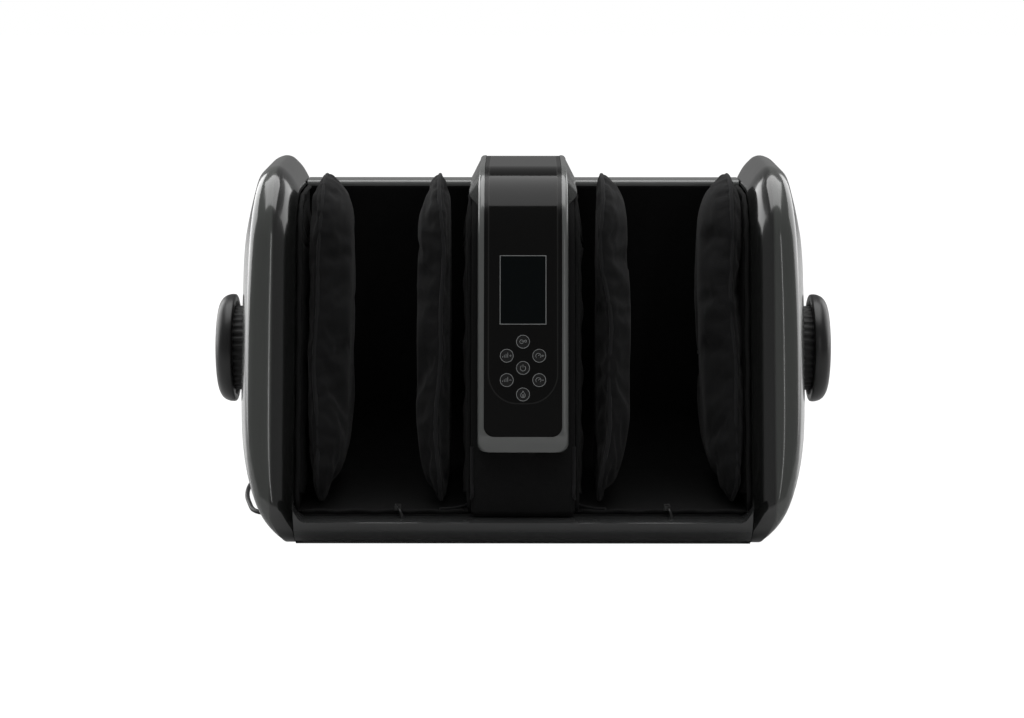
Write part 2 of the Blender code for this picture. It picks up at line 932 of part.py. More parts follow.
def key_caps():
    front = -fascia_recess
    flange_top = -fascia_recess - fascia_thick - seat_gap
    flange_low = flange_top - key_flange_thick
    for name, x, height in keys:
        profile = (
            (0.0, front),
            (key_radius - key_edge, front),
            (key_radius, front - key_edge),
            (key_radius, flange_top),
            (key_radius + key_flange, flange_top),
            (key_radius + key_flange, flange_low),
            (0.0, flange_low),
        )
        smooth(turned(name, profile, face_frame(x, height, 0.0), key_plastic, 16))


def console_inside():
    """The window, the display behind it and the key board, on posts to the divider."""
    face_block("display_lens", 0.0, screen_z, screen_width / 2, screen_length / 2,
               -fascia_recess - lens_thick, -fascia_recess, screen_glass)
    module_top = -fascia_recess - lens_thick - seat_gap
    window_top = -fascia_recess - fascia_thick - seat_gap
    module = face_block("display_module", 0.0, screen_z,
                        screen_width / 2 + module_margin, screen_length / 2 + module_margin / 2,
                        window_top - module_thick, window_top, black_plastic)
    glass = face_block("module_glass", 0.0, screen_z, screen_width / 2 - seat_gap,
                       screen_length / 2 - seat_gap, window_top - module_thick / 2,
                       module_top, black_plastic)
    cut(module, make_cutter(glass), "UNION")
    top = window_top - key_flange_thick - key_travel - seat_gap
    middle = (key_mode_z + key_heat_z) / 2
    half_length = (key_mode_z - key_heat_z) / 2 + board_end
    board = face_block("key_board", 0.0, middle, board_half_width, half_length,
                       top - board_thick, top, board_green)
    post = face_block("board_post", 0.0, middle, post_half_width, post_half_length,
                      -console_depth, top - board_thick / 2, board_green)
    cut(board, make_cutter(post), "UNION")
    rest = face_block("module_post", 0.0, screen_z, post_half_width, post_half_length,
                      -console_depth, window_top - module_thick / 2, black_plastic)
    cut(module, make_cutter(rest), "UNION")


console_frame()
panel_fascia()
key_caps()
console_inside()


# Drive behind the wells

def drive():
    """A cross shaft in two bearings, with a tilted bush inside each wing's eye."""
    place = facing(1, 0.0, shaft_y, shaft_z)
    smooth(rod("drive_shaft", shaft_radius, -shaft_half_length, shaft_half_length,
               place, steel, 16))
    seat = shaft_radius + seat_gap
    for hand, side in (("left", -1), ("right", 1)):
        for which, x in (("inner", inner_pad_x), ("outer", outer_pad_x)):
            spot = facing(1, side * x, shaft_y, shaft_z)
            tilt = Matrix.Rotation(bush_tilt, 4, "X")
            profile = ring_profile(seat + seat_gap, bush_radius, -bush_half_width,
                                   bush_half_width)
            smooth(turned("%s_%s_wobble_bush" % (hand, which), profile, spot @ tilt,
                          nylon, 24))
        block_low = (side * bearing_x - bearing_half_width,
                     chassis_back_y + seat_gap, shaft_z - bearing_half_height)
        block_high = (side * bearing_x + bearing_half_width,
                      shaft_y + bearing_past_shaft, shaft_z + bearing_half_height)
        bearing = block(hand + "_bearing_block", block_low, block_high, nylon, block_edge)
        bore = rod(hand + "_bearing_bore", seat, -bearing_half_width * 3,
                   bearing_half_width * 3, facing(1, side * bearing_x, shaft_y, shaft_z),
                   nylon, 16)
        cut(bearing, make_cutter(bore))


def gear_drive():
    low = (-gearbox_half_width, chassis_back_y + seat_gap, shaft_z - gearbox_half_height)
    high = (gearbox_half_width, shaft_y + gearbox_half_height, shaft_z + gearbox_half_height)
    gearbox = block("gearbox", low, high, motor_metal, gearbox_edge)
    bore = rod("gearbox_bore", shaft_radius + seat_gap, -gearbox_half_width * 2,
               gearbox_half_width * 2, facing(1, 0.0, shaft_y, shaft_z), motor_metal, 16)
    cut(gearbox, make_cutter(bore))
    motor_top = shaft_z - gearbox_half_height - seat_gap
    motor_y = chassis_back_y + seat_gap + motor_radius
    profile = [(0.0, motor_top)]
    for radius_share, drop_share in motor_shares:
        profile.append((motor_radius * radius_share, motor_top - motor_length * drop_share))
    profile.append((0.0, motor_top - motor_length))
    smooth(turned("drive_motor", profile, upright(0.0, motor_y, 0.0), motor_metal, 20))


def chassis():
    low = (-chassis_half_width, chassis_y, underside_z + tray_wall + seat_gap * 2)
    high = (chassis_half_width, chassis_back_y, chassis_top_z)
    panel = block("chassis", low, high, steel)
    for side in (-1, 1):
        for pad_x in (inner_pad_x, outer_pad_x):
            cut(panel, arm_slot(side * pad_x, "chassis_slot_%d" % round(side * pad_x * 1000)))


def power_supply():
    low = (-supply_half_width, -supply_length / 2, underside_z + tray_wall + seat_gap * 2)
    high = (supply_half_width, supply_length / 2, low[2] + supply_height)
    block("power_supply", low, high, board_green, block_edge)


drive()
gear_drive()
chassis()
power_supply()


# Pads and their wings

pad_corners = (
    (front_y(pad_bottom_z, pad_front_inset), pad_bottom_z, pad_toe_radius),
    (pad_back_y, pad_bottom_z, pad_heel_radius),
    (pad_back_top_y, pad_top_z, pad_crown_radius),
    (front_y(pad_top_z, pad_front_inset), pad_top_z, pad_brow_radius),
)


def wing_outline(grow):
    """A blade inside the pad, and an arm that ends in a round eye on the shaft."""
    eye = wing_eye_radius + grow
    arm = wing_arm_half + grow
    sweep = math.pi - math.asin(arm / eye)
    low = pad_bottom_z + wing_low_inset - grow
    high = pad_top_z - wing_high_inset + grow
    low_inset = pad_front_inset + wing_front_low_inset - grow
    high_inset = pad_front_inset + wing_front_high_inset - grow
    front_low = Vector((front_y(low, low_inset), low))
    front_high = Vector((front_y(high, high_inset), high))
    back = pad_back_y - wing_back_inset + grow
    back_high = pad_back_top_y - wing_back_inset + grow
    points = [front_low, Vector((back, low)), Vector((back, shaft_z - arm))]
    for step in range(13):
        angle = sweep * (step / 6 - 1)
        points.append(Vector((shaft_y + eye * math.cos(angle),
                              shaft_z + eye * math.sin(angle))))
    points += [Vector((back, shaft_z + arm)), Vector((back_high, high)), front_high]
    return points


def wing(side, name, x):
    low = side * x - wing_thick / 2
    high = side * x + wing_thick / 2
    blade = plate(name, wing_outline(0.0), low, high, black_plastic)
    bore = rod(name + "_bore", bush_radius + wing_running_gap, -wing_thick, wing_thick,
               facing(1, side * x, shaft_y, shaft_z), nylon, 24)
    cut(blade, make_cutter(bore))
    return blade


def pad(side, name, x, thick, toward):
    """A cushion with its seam at the rim, fuller on the side that meets the leg."""
    centre = side * x
    rings = []
    for direction in (-1, 1):
        share = calf_side_share if direction == toward else 1 - calf_side_share
        for inset_share, out_share in pad_ring_shares[::direction]:
            inset = inset_share * pad_depth
            out = centre + direction * thick * share * out_share
            points = outline(pad_corners, inset, steps=6, least_radius=pad_least_radius)
            rings.append([Vector((out, point.x, point.y)) for point in points])
    cushion = loft(name, rings, pad_fabric)
    pocket_half = wing_thick / 2 + seat_gap
    pocket = plate(name + "_pocket", wing_outline(seat_gap), centre - pocket_half,
                   centre + pocket_half, pad_fabric)
    cut(cushion, make_cutter(pocket))
    return smooth(cushion, 60)


for hand, side in (("left", -1), ("right", 1)):
    wing(side, hand + "_inner_wing", inner_pad_x)
    wing(side, hand + "_outer_wing", outer_pad_x)
    pad(side, hand + "_inner_pad", inner_pad_x, inner_pad_thick, side)
    pad(side, hand + "_outer_pad", outer_pad_x, outer_pad_thick, -side)


# Mains lead

def smooth_route(knots, spacing):
    """Evenly spaced points on one smooth curve through the chosen knots."""
    fine = []
    padded = [knots[0] * 2 - knots[1]] + knots + [knots[-1] * 2 - knots[-2]]
    for p0, p1, p2, p3 in zip(padded, padded[1:], padded[2:], padded[3:]):
        for step in range(12):
            t = step / 12
            fine.append(0.5 * (p1 * 2 + (p2 - p0) * t
                               + (p0 * 2 - p1 * 5 + p2 * 4 - p3) * t * t
                               + (p1 * 3 - p0 - p2 * 3 + p3) * t * t * t))
    fine.append(knots[-1])
    total = sum((b - a).length for a, b in zip(fine, fine[1:]))
    count = int(total / spacing)
    even = [fine[0]]
    walked = 0.0
    goal = total / count
    for a, b in zip(fine, fine[1:]):
        length = (b - a).length
        while walked + length >= goal - 1e-9 and len(even) < count:
            even.append(a.lerp(b, (goal - walked) / length))
            goal += total / count
        walked += length
    even.append(fine[-1])
    for point in even:
        point.z = max(point.z, cord_diameter / 2)
    return even, total


def coil_points():
    """Two layers of turns: in on the floor, up a layer, and out again."""
    half = points_in_turn // 2
    run = turns_in_layer * points_in_turn - half
    middle = run + half / 2
    inner = coil_outer - coil_pitch * middle / points_in_turn
    points = []
    for step in range(run * 2 + half + 1):
        angle = -math.pi / 2 + step * 2 * math.pi / points_in_turn
        radius = inner + coil_pitch * abs(step - middle) / points_in_turn
        share = min(1.0, max(0.0, (step - run) / half))
        climbed = coil_layer * (3 - 2 * share) * share * share
        height = cord_diameter / 2 + climbed
        points.append(Vector((coil_x + radius * math.cos(angle),
                              coil_y + radius * math.sin(angle), height)))
    return points


def least_self_gap(points):
    """How near the tube comes to itself, past half a turn along its length."""
    gaps = []
    for i, a in enumerate(points):
        gaps += [(a - b).length for b in points[i + points_in_turn // 2:]]
    return min(gaps) - cord_diameter


# The lead's route: back and down to the floor, round the left side, where a loop
# lies, and back again to the coil behind the body
floor_lay = cord_diameter / 2
lead_route = (
    (-0.1610, 0.2250, 0.0405),
    (-0.1640, 0.2375, 0.0310),
    (-0.1690, 0.2480, 0.0180),
    (-0.1775, 0.2570, 0.0075),
    (-0.1910, 0.2630, 0.0026),
    (-0.2100, 0.2620, floor_lay),
    (-0.2310, 0.2500, floor_lay),
    (-0.2480, 0.2270, floor_lay),
    (-0.2590, 0.1900, floor_lay),
    (-0.2660, 0.1450, floor_lay),
    (-0.2705, 0.1000, floor_lay),
    (-0.2715, 0.0620, floor_lay),
    (-0.2690, 0.0300, floor_lay),
    (-0.2640, 0.0020, floor_lay),
    (-0.2582, -0.0233, floor_lay),
    (-0.2506, -0.0350, floor_lay),
    (-0.2395, -0.0388, floor_lay),
    (-0.2272, -0.0344, floor_lay),
    (-0.2206, -0.0239, floor_lay),
    (-0.2196, -0.0080, floor_lay),
    (-0.2200, 0.0200, floor_lay),
    (-0.2205, 0.0560, floor_lay),
    (-0.2205, 0.0980, floor_lay),
    (-0.2175, 0.1400, floor_lay),
    (-0.2080, 0.1770, floor_lay),
    (-0.1860, 0.2010, floor_lay),
    (-0.1500, 0.2140, floor_lay),
    (-0.1100, 0.2200, floor_lay),
    (-0.0800, 0.2232, floor_lay),
)


def mains_lead():
    coil = coil_points()
    entry = coil[0]
    entry_along = Vector((1.0, 0.0, 0.0))
    relief_end = Vector((relief_x, relief_start_y + relief_length + seat_gap, relief_z))
    knots = [relief_end, relief_end + Vector((0.0, cord_diameter * 3, 0.0))]
    knots += [Vector(point) for point in lead_route]
    knots.append(entry - entry_along * (cord_diameter * 2 + seat_gap))
    knots.append(entry - entry_along * (cord_diameter + seat_gap))
    points, length = smooth_route(knots, cord_diameter * 2.5)
    tube("cord_lead", points, cord_diameter / 2, cord_rubber, 2)
    finish = coil[-1]
    plug_back = Vector((plug_x, finish.y, plug_height / 2))
    tail = [
        finish + entry_along * cord_diameter * 3,
        Vector((plug_back.x - cord_diameter * 3, plug_back.y, plug_back.z)),
        plug_back - entry_along * (cord_diameter + seat_gap),
        plug_back - entry_along * seat_gap,
    ]
    whole = [entry - entry_along * cord_diameter] + coil + tail
    tube("cord_coil", whole, cord_diameter / 2, cord_rubber, 1)
    coil_length = sum((b - a).length for a, b in zip(whole, whole[1:]))
    print("lead_m %.3f coil_m %.3f least_self_gap_mm %.2f"
          % (length, coil_length, least_self_gap(coil) * 1000))
    return plug_back


def strain_relief():
    """A tapered rubber sleeve; a third of it is held inside the cover."""
    tip = relief_length * 1.5
    profile = [(0.0, tip)]
    for length_share, width_share in relief_shares:
        radius = relief_tip_radius + (relief_radius - relief_tip_radius) * width_share
        profile.append((radius, tip - relief_length * length_share))
    profile += [(relief_radius, 0.0), (0.0, 0.0)]
    smooth(turned("strain_relief", profile, relief_place(), rubber, 16))


def plug(back):
    """A slim two-pin plug, lofted from the cord's end to its flat face."""
    rings = []
    for along, wide, high in plug_shares:
        ring = []
        for step in range(12):
            angle = 2 * math.pi * step / 12
            y = plug_half_width * wide * math.cos(angle)
            z = plug_height / 2 * high * math.sin(angle)
            ring.append(Vector((back.x + plug_length * along, back.y + y, back.z + z)))
        rings.append(ring)
    body = loft("plug", rings, cord_rubber)
    for index, side in enumerate((-1, 1)):
        place = facing(1, back.x + plug_length, back.y + side * pin_spacing, back.z)
        pin = rod("plug_pin_tool_%d" % index, pin_radius, -overrun, pin_length, place,
                  cord_rubber, 10)
        cut(body, make_cutter(pin), "UNION")
    return smooth(body)


plug(mains_lead())
strain_relief()
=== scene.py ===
# %% [markdown]
# # A foot and calf massager, dressed in Blender
# The solids of the massager already exist, at their real size. This lesson gives
# them their looks: smooth shells, padded fabric, a gloss panel and a mains lead.
# The solids are loaded first and stay where they are. Every new piece is placed
# from their sizes, and then told which of the moving bodies carries it.

# %% Load the solids
import math

import bmesh
import bpy
from mathutils import Matrix, Vector, kdtree, noise


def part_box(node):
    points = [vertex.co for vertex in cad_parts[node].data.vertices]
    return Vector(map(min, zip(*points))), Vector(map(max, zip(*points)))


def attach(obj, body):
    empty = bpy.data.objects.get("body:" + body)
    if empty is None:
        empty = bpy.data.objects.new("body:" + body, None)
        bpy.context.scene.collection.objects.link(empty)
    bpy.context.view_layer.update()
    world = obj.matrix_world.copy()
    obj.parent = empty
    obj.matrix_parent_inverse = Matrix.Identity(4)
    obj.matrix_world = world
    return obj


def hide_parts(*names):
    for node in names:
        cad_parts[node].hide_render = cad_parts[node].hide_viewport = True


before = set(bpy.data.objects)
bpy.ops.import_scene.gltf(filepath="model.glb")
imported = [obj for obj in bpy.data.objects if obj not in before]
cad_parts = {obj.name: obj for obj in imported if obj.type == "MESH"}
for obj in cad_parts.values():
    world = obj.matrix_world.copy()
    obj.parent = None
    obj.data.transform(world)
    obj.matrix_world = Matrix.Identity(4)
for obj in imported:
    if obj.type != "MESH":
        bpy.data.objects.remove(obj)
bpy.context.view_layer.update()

scene = bpy.context.scene


def placed(name, data):
    """A new object with this data, in the scene."""
    thing = bpy.data.objects.new(name, data)
    scene.collection.objects.link(thing)
    return thing


# %% [markdown]
# ## The camera
# A long lens from a little above shows almost no perspective, as in a catalogue
# picture. The width seen at the object fixes the focal length, so the lens is
# worked out from the distance and not guessed.

# %% Camera
sensor_width = 0.036
camera_distance = 2.40
camera_elevation = math.radians(10)
width_seen = 0.977
look_at = Vector((-0.0105, 0.0, 0.1440))
turned_about = Vector((0.0, 0.0, 0.1517))

camera_data = bpy.data.cameras.new("camera")
camera_data.sensor_width = sensor_width * 1000
camera_data.lens = sensor_width * 1000 * camera_distance / width_seen
camera = placed("camera", camera_data)
backwards = Vector((0.0, -math.cos(camera_elevation), math.sin(camera_elevation)))
camera.location = turned_about + backwards * camera_distance
camera.rotation_euler = (look_at - camera.location).to_track_quat("-Z", "Y").to_euler()
scene.camera = camera
print("lens_mm", round(camera_data.lens, 1))

# %% [markdown]
# ## Wires between shader nodes
# A shader is arithmetic on sockets. This class wraps one output socket, so that
# an expression such as 1 - mask * 0.5 adds the Math nodes by itself. Every other
# kind of node is made by one method, which sets its options before its inputs.

# %% A class for sockets
class Wire:
    """One output socket; Python's operators on it add Math nodes."""

    def __init__(self, tree, socket):
        self.tree = tree
        self.socket = socket

    @classmethod
    def node(cls, tree, kind, settings=None, inputs=None, output=0):
        made = tree.nodes.new(kind)
        for key, value in (settings or {}).items():
            setattr(made, key, value)
        for key, value in (inputs or {}).items():
            if isinstance(value, Wire):
                tree.links.new(value.socket, made.inputs[key])
            else:
                made.inputs[key].default_value = value
        return cls(tree, made.outputs[output])

    def math(self, operation, first, second=0.0):
        return Wire.node(self.tree, "ShaderNodeMath", {"operation": operation},
                         {0: first, 1: second})

    def __add__(self, other):
        return self.math("ADD", self, other)

    __radd__ = __add__

    def __sub__(self, other):
        return self.math("SUBTRACT", self, other)

    def __rsub__(self, other):
        return self.math("SUBTRACT", other, self)

    def __mul__(self, other):
        return self.math("MULTIPLY", self, other)

    __rmul__ = __mul__

    def __abs__(self):
        return self.math("ABSOLUTE", self)

    def sine(self):
        return self.math("SINE", self)

    def above(self, level):
        """What is left of the value above a level, and zero below it."""
        return self.math("MAXIMUM", self - level)

    def length_with(self, other):
        return self.math("SQRT", self * self + other * other)

    def step(self, low, high):
        """A smooth 0 to 1 as the value goes from low to high."""
        return Wire.node(self.tree, "ShaderNodeMapRange",
                         {"interpolation_type": "SMOOTHSTEP"},
                         {"Value": self, "From Min": low, "From Max": high})


print("socket class ready")


# %% Node helpers
def blank_material(name):
    material = bpy.data.materials.new(name)
    material.use_nodes = True
    tree = material.node_tree
    return material, tree, tree.nodes["Principled BSDF"]


def place_of(tree):
    return Wire.node(tree, "ShaderNodeTexCoord", output="Object")


def axes_of(tree):
    split = Wire.node(tree, "ShaderNodeSeparateXYZ", None, {"Vector": place_of(tree)})
    outputs = split.socket.node.outputs
    return Wire(tree, outputs["X"]), Wire(tree, outputs["Y"]), Wire(tree, outputs["Z"])


def noise_wire(tree, scale, detail=2.0, roughness=0.5):
    return Wire.node(tree, "ShaderNodeTexNoise", None,
                     {"Vector": place_of(tree), "Scale": scale, "Detail": detail,
                      "Roughness": roughness})


def mixed(tree, factor, first, second):
    """A colour between two, which a Math node would turn grey."""
    return Wire.node(tree, "ShaderNodeMix", {"data_type": "RGBA"},
                     {"Factor": factor, 6: (*first, 1.0), 7: (*second, 1.0)}, 2)


def bumped(tree, height, strength, distance):
    return Wire.node(tree, "ShaderNodeBump", None,
                     {"Height": height, "Strength": strength, "Distance": distance})


def plug_in(tree, shader, socket, wire):
    tree.links.new(wire.socket, shader.inputs[socket])


def scaled(colour, share):
    return tuple(channel * share for channel in colour)


print("node helpers ready")

# %% [markdown]
# ## Moulded plastic
# Gloss plastic is never quite flat: the mould leaves a slow swell, and dust and
# wiping make the gloss uneven. The swell is a bump of a fraction of a millimetre,
# and the wiping is a little change of roughness. The clear coat on top keeps the
# sharp reflection that such a shell has. Matt plastic has a fine spark grain
# from the mould instead. The side shells are grey outside, and most of the bevel
# that faces the wells is painted nearly black, as painted reflection and painted
# shade: the distance to the middle of the object blends the two greys over three
# millimetres. The lip, the console and the back cover are the same grey plastic,
# but the lip is painted darker, as painted shade, and the console and the cover
# lighter, as painted light.

# %% Plastics
painted_shade_reach = 0.2230
painted_shade_blend = 0.0030


def plastic(name, colour, roughness, coat=0.0, swell=0.0, grain=0.0, lighter=1.15,
            inner=None):
    material, tree, shader = blank_material(name)
    share = noise_wire(tree, 9.0, 3.0)
    first = colour
    # An inner colour is painted reflection and painted shade on the bevel that faces the wells.
    if inner is not None:
        outside = abs(axes_of(tree)[0]).step(painted_shade_reach, painted_shade_reach + painted_shade_blend)
        share = outside * (share * 0.2 + 0.8)
        first = inner
    plug_in(tree, shader, "Base Color", mixed(tree, share, first, scaled(colour, lighter)))
    wiped = noise_wire(tree, 34.0, 4.0, 0.6)
    plug_in(tree, shader, "Roughness", wiped * (roughness * 0.5) + roughness * 0.75)
    if grain > 0:
        fine = noise_wire(tree, 2200.0, 2.0)
        plug_in(tree, shader, "Normal", bumped(tree, fine, grain, 0.0002))
    elif swell > 0:
        slow = noise_wire(tree, 14.0, 1.0)
        plug_in(tree, shader, "Normal", bumped(tree, slow, swell, 0.001))
    shader.inputs["Coat Weight"].default_value = coat
    shader.inputs["Coat Roughness"].default_value = 0.10
    return material


# The nearly black inner colour on the shells' bevel is painted reflection and painted shade.
shell_grey = plastic("shell_grey", (0.0560, 0.0600, 0.0560), 0.20, coat=0.9, swell=0.01,
                     inner=(0.0090, 0.0094, 0.0090))
# The lip is the shells' grey plastic made darker, as painted shade.
lip_grey_painted_shade = plastic("lip_grey_painted_shade", (0.0310, 0.0317, 0.0319), 0.22, coat=0.6, swell=0.01)
# The console and back cover are the shells' grey plastic made lighter, as painted light.
console_grey_painted_light = plastic("console_grey_painted_light", (0.104, 0.108, 0.105), 0.24, coat=0.8, swell=0.01)
knob_black = plastic("knob_black", (0.0110, 0.0110, 0.0112), 0.34, grain=0.05)
moulded_black = plastic("moulded_black", (0.0120, 0.0120, 0.0122), 0.55, grain=0.25)
key_black = plastic("key_black", (0.0040, 0.0040, 0.0042), 0.14, coat=0.3, swell=0.01)
rubber_black = plastic("rubber_black", (0.0100, 0.0100, 0.0100), 0.80, grain=0.4)
cord_black = plastic("cord_black", (0.0085, 0.0085, 0.0085), 0.50, grain=0.10)
nylon_white = plastic("nylon_white", (0.560, 0.545, 0.510), 0.50, grain=0.15)
board_green = plastic("board_green", (0.020, 0.100, 0.045), 0.45, swell=0.02)
print_grey = plastic("print_grey", (0.260, 0.268, 0.268), 0.50, grain=0.05)
zip_black = plastic("zip_black", (0.0150, 0.0150, 0.0150), 0.35, grain=0.08)


def metal(name, colour, roughness):
    material, tree, shader = blank_material(name)
    brushed = noise_wire(tree, 160.0, 4.0, 0.7)
    plug_in(tree, shader, "Roughness", brushed * 0.25 + roughness)
    plug_in(tree, shader, "Normal", bumped(tree, brushed, 0.08, 0.0002))
    shader.inputs["Base Color"].default_value = (*colour, 1.0)
    shader.inputs["Metallic"].default_value = 1.0
    return material


steel = metal("steel", (0.52, 0.52, 0.53), 0.24)
cast_metal = metal("cast_metal", (0.33, 0.33, 0.34), 0.34)
pin_brass = metal("pin_brass", (0.62, 0.55, 0.38), 0.20)
print("plastics and metals", len(bpy.data.materials))

# %% [markdown]
# ## The panel's gloss
# The control panel is black acrylic. A film in the shape of a tongue covers the
# window and the keys, and it is a little smoother than the rest. The film is
# thinner than paper, so it is drawn in the material: a rounded box in the panel's
# own coordinates lowers the roughness, and a hair line marks its edge.

# %% Panel and window
film_half_width = 0.0308
film_low_z = 0.1345
film_corner = 0.026
film_edge = 0.0004


def panel_material():
    material, tree, shader = blank_material("panel_black")
    side, _, up = axes_of(tree)
    beyond = abs(side).above(film_half_width - film_corner)
    below = (film_low_z + film_corner - up).above(0.0)
    reach = beyond.length_with(below) - film_corner
    outside = reach.step(-film_edge, film_edge)
    line = 1 - abs(reach).step(film_edge, film_edge * 2)
    wiped = noise_wire(tree, 40.0, 3.0)
    plug_in(tree, shader, "Roughness", outside * 0.16 + wiped * 0.05 + 0.05)
    plug_in(tree, shader, "Base Color",
            mixed(tree, line * 0.5, (0.0030, 0.0029, 0.0028), (0.030, 0.030, 0.029)))
    slow = noise_wire(tree, 10.0, 1.0)
    plug_in(tree, shader, "Normal", bumped(tree, slow, 0.02, 0.001))
    shader.inputs["Specular IOR Level"].default_value = 0.22
    return material


def window_material():
    """Dark glass, a little green, as a display shows when it is off."""
    material, tree, shader = blank_material("window_dark")
    cloud = noise_wire(tree, 12.0, 2.0)
    plug_in(tree, shader, "Base Color",
            mixed(tree, cloud, (0.0008, 0.0018, 0.0022), (0.0012, 0.0030, 0.0033)))
    wiped = noise_wire(tree, 60.0, 2.0)
    plug_in(tree, shader, "Roughness", wiped * 0.04 + 0.03)
    shader.inputs["Specular IOR Level"].default_value = 0.15
    return material


panel_black = panel_material()
window_dark = window_material()
print("panel ready")

# %% [markdown]
# ## Fabric
# The wells and pads are covered in a fine black knit. Its ribs are finer than a
# millimetre, so they are a bump made from two crossed waves. Larger, softer
# creases come from stretched noise. The sheen stands for the short fibres that
# catch light at a glancing angle. The lining in the wells is the knit made darker,
# as painted shade, and the piping is made lighter, as a painted highlight.

# %% Fabrics
def fabric(name, colour, rib=0.0012, creases=0.35, sheen=0.10, lighter=1.7):
    material, tree, shader = blank_material(name)
    side, across, along = axes_of(tree)
    turn = 2 * math.pi / rib
    warp = ((across + side) * turn).sine()
    weft = ((along + side * 0.35) * turn).sine()
    knit = warp * weft * 0.5 + 0.5
    cloud = noise_wire(tree, 22.0, 3.0)
    fuzz = noise_wire(tree, 900.0, 2.0)
    folds = noise_wire(tree, 30.0, 2.0)
    height = knit * 0.20 + fuzz * 0.12 + folds * (creases * 2.0)
    plug_in(tree, shader, "Normal", bumped(tree, height, 0.55, 0.0016))
    plug_in(tree, shader, "Base Color",
            mixed(tree, cloud * 0.6 + knit * 0.4, colour, scaled(colour, lighter)))
    plug_in(tree, shader, "Roughness", fuzz * 0.15 + 0.80)
    shader.inputs["Sheen Weight"].default_value = sheen
    shader.inputs["Sheen Roughness"].default_value = 0.45
    shader.inputs["Specular IOR Level"].default_value = 0.25
    return material


# The lining is the pads' knit made darker, as painted shade of the deep wells.
lining_black_painted_shade = fabric("lining_black_painted_shade", (0.0011, 0.0011, 0.0012), sheen=0.01, creases=0.5)
ruffle_black = fabric("ruffle_black", (0.0022, 0.0022, 0.0023), sheen=0.03, creases=0.3)
pad_black = fabric("pad_black", (0.0034, 0.0034, 0.0037), sheen=0.05, creases=0.25)
# The piping is the same knit made lighter, as a painted highlight on the seams.
piping_black_painted_highlight = fabric("piping_black_painted_highlight", (0.0085, 0.0085, 0.0090), rib=0.0016, creases=0.0,
                      sheen=0.08)
divider_black = fabric("divider_black", (0.0018, 0.0018, 0.0019), sheen=0.02, creases=0.3)
print("fabrics ready")

# %% [markdown]
# ## The mains lead
# A lead keeps its length and lies where gravity puts it. It leaves a tapered
# sleeve, drops to the floor, runs round the left side, where a loop shows beside
# the body, and comes back to a coil behind. As far as the coil the points are the
# ones that the solid follows, and the coil is worked out by a loop. There the
# solid turns straight back on itself, so here the last quarter of the coil is left
# out, and a quarter turn leads to the plug. One smooth curve takes in all of it.

# %% The lead's sizes and route
cord_diameter = 0.0045
seat_gap = 0.0003
relief_low, relief_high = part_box("strain_relief")
relief_x = (relief_low.x + relief_high.x) / 2
relief_z = (relief_low.z + relief_high.z) / 2
relief_radius = (relief_high.x - relief_low.x) / 2
coil_x = -0.060
coil_y = 0.255
coil_outer = 0.0325
coil_pitch = 0.0051
coil_layer = 0.0051
turns_in_layer = 3
points_in_turn = 24
floor_lay = cord_diameter / 2
lead_route = (
    (-0.1610, 0.2250, 0.0405), (-0.1640, 0.2375, 0.0310), (-0.1690, 0.2480, 0.0180),
    (-0.1775, 0.2570, 0.0075), (-0.1910, 0.2630, 0.0026), (-0.2100, 0.2620, floor_lay),
    (-0.2310, 0.2500, floor_lay), (-0.2480, 0.2270, floor_lay), (-0.2590, 0.1900, floor_lay),
    (-0.2660, 0.1450, floor_lay), (-0.2705, 0.1000, floor_lay), (-0.2715, 0.0620, floor_lay),
    (-0.2690, 0.0300, floor_lay), (-0.2640, 0.0020, floor_lay), (-0.2582, -0.0233, floor_lay),
    (-0.2506, -0.0350, floor_lay), (-0.2395, -0.0388, floor_lay),
    (-0.2272, -0.0344, floor_lay), (-0.2206, -0.0239, floor_lay),
    (-0.2196, -0.0080, floor_lay), (-0.2200, 0.0200, floor_lay), (-0.2205, 0.0560, floor_lay),
    (-0.2205, 0.0980, floor_lay), (-0.2175, 0.1400, floor_lay), (-0.2080, 0.1770, floor_lay),
    (-0.1860, 0.2010, floor_lay), (-0.1500, 0.2140, floor_lay), (-0.1100, 0.2200, floor_lay),
    (-0.0800, 0.2232, floor_lay),
)


print("lead route points", len(lead_route))


# %% Lengths, the coil and smooth lines
def eased(share):
    """A share from 0 to 1, held to those ends, that starts and stops gently."""
    share = min(1.0, max(0.0, share))
    return share * share * (3 - 2 * share)


def lengths_along(points):
    """How far along a line each of its points lies."""
    walked = [0.0]
    for a, b in zip(points, points[1:]):
        walked.append(walked[-1] + (b - a).length)
    return walked


def coil_points():
    half = points_in_turn // 2
    run = turns_in_layer * points_in_turn - half
    middle = run + half / 2
    inner = coil_outer - coil_pitch * middle / points_in_turn
    points = []
    for step in range(run * 2 + half + 1):
        angle = -math.pi / 2 + step * 2 * math.pi / points_in_turn
        radius = inner + coil_pitch * abs(step - middle) / points_in_turn
        climbed = coil_layer * eased((step - run) / half)
        points.append(Vector((coil_x + radius * math.cos(angle),
                              coil_y + radius * math.sin(angle), floor_lay + climbed)))
    return points


def smooth_line(knots, pieces):
    """Points on one smooth curve through the chosen knots."""
    fine = []
    padded = [knots[0] * 2 - knots[1]] + knots + [knots[-1] * 2 - knots[-2]]
    for p0, p1, p2, p3 in zip(padded, padded[1:], padded[2:], padded[3:]):
        for step in range(pieces):
            t = step / pieces
            fine.append(0.5 * (p1 * 2 + (p2 - p0) * t
                               + (p0 * 2 - p1 * 5 + p2 * 4 - p3) * t * t
                               + (p1 * 3 - p0 - p2 * 3 + p3) * t * t * t))
    fine.append(knots[-1])
    return fine


print("coil points", len(coil_points()))

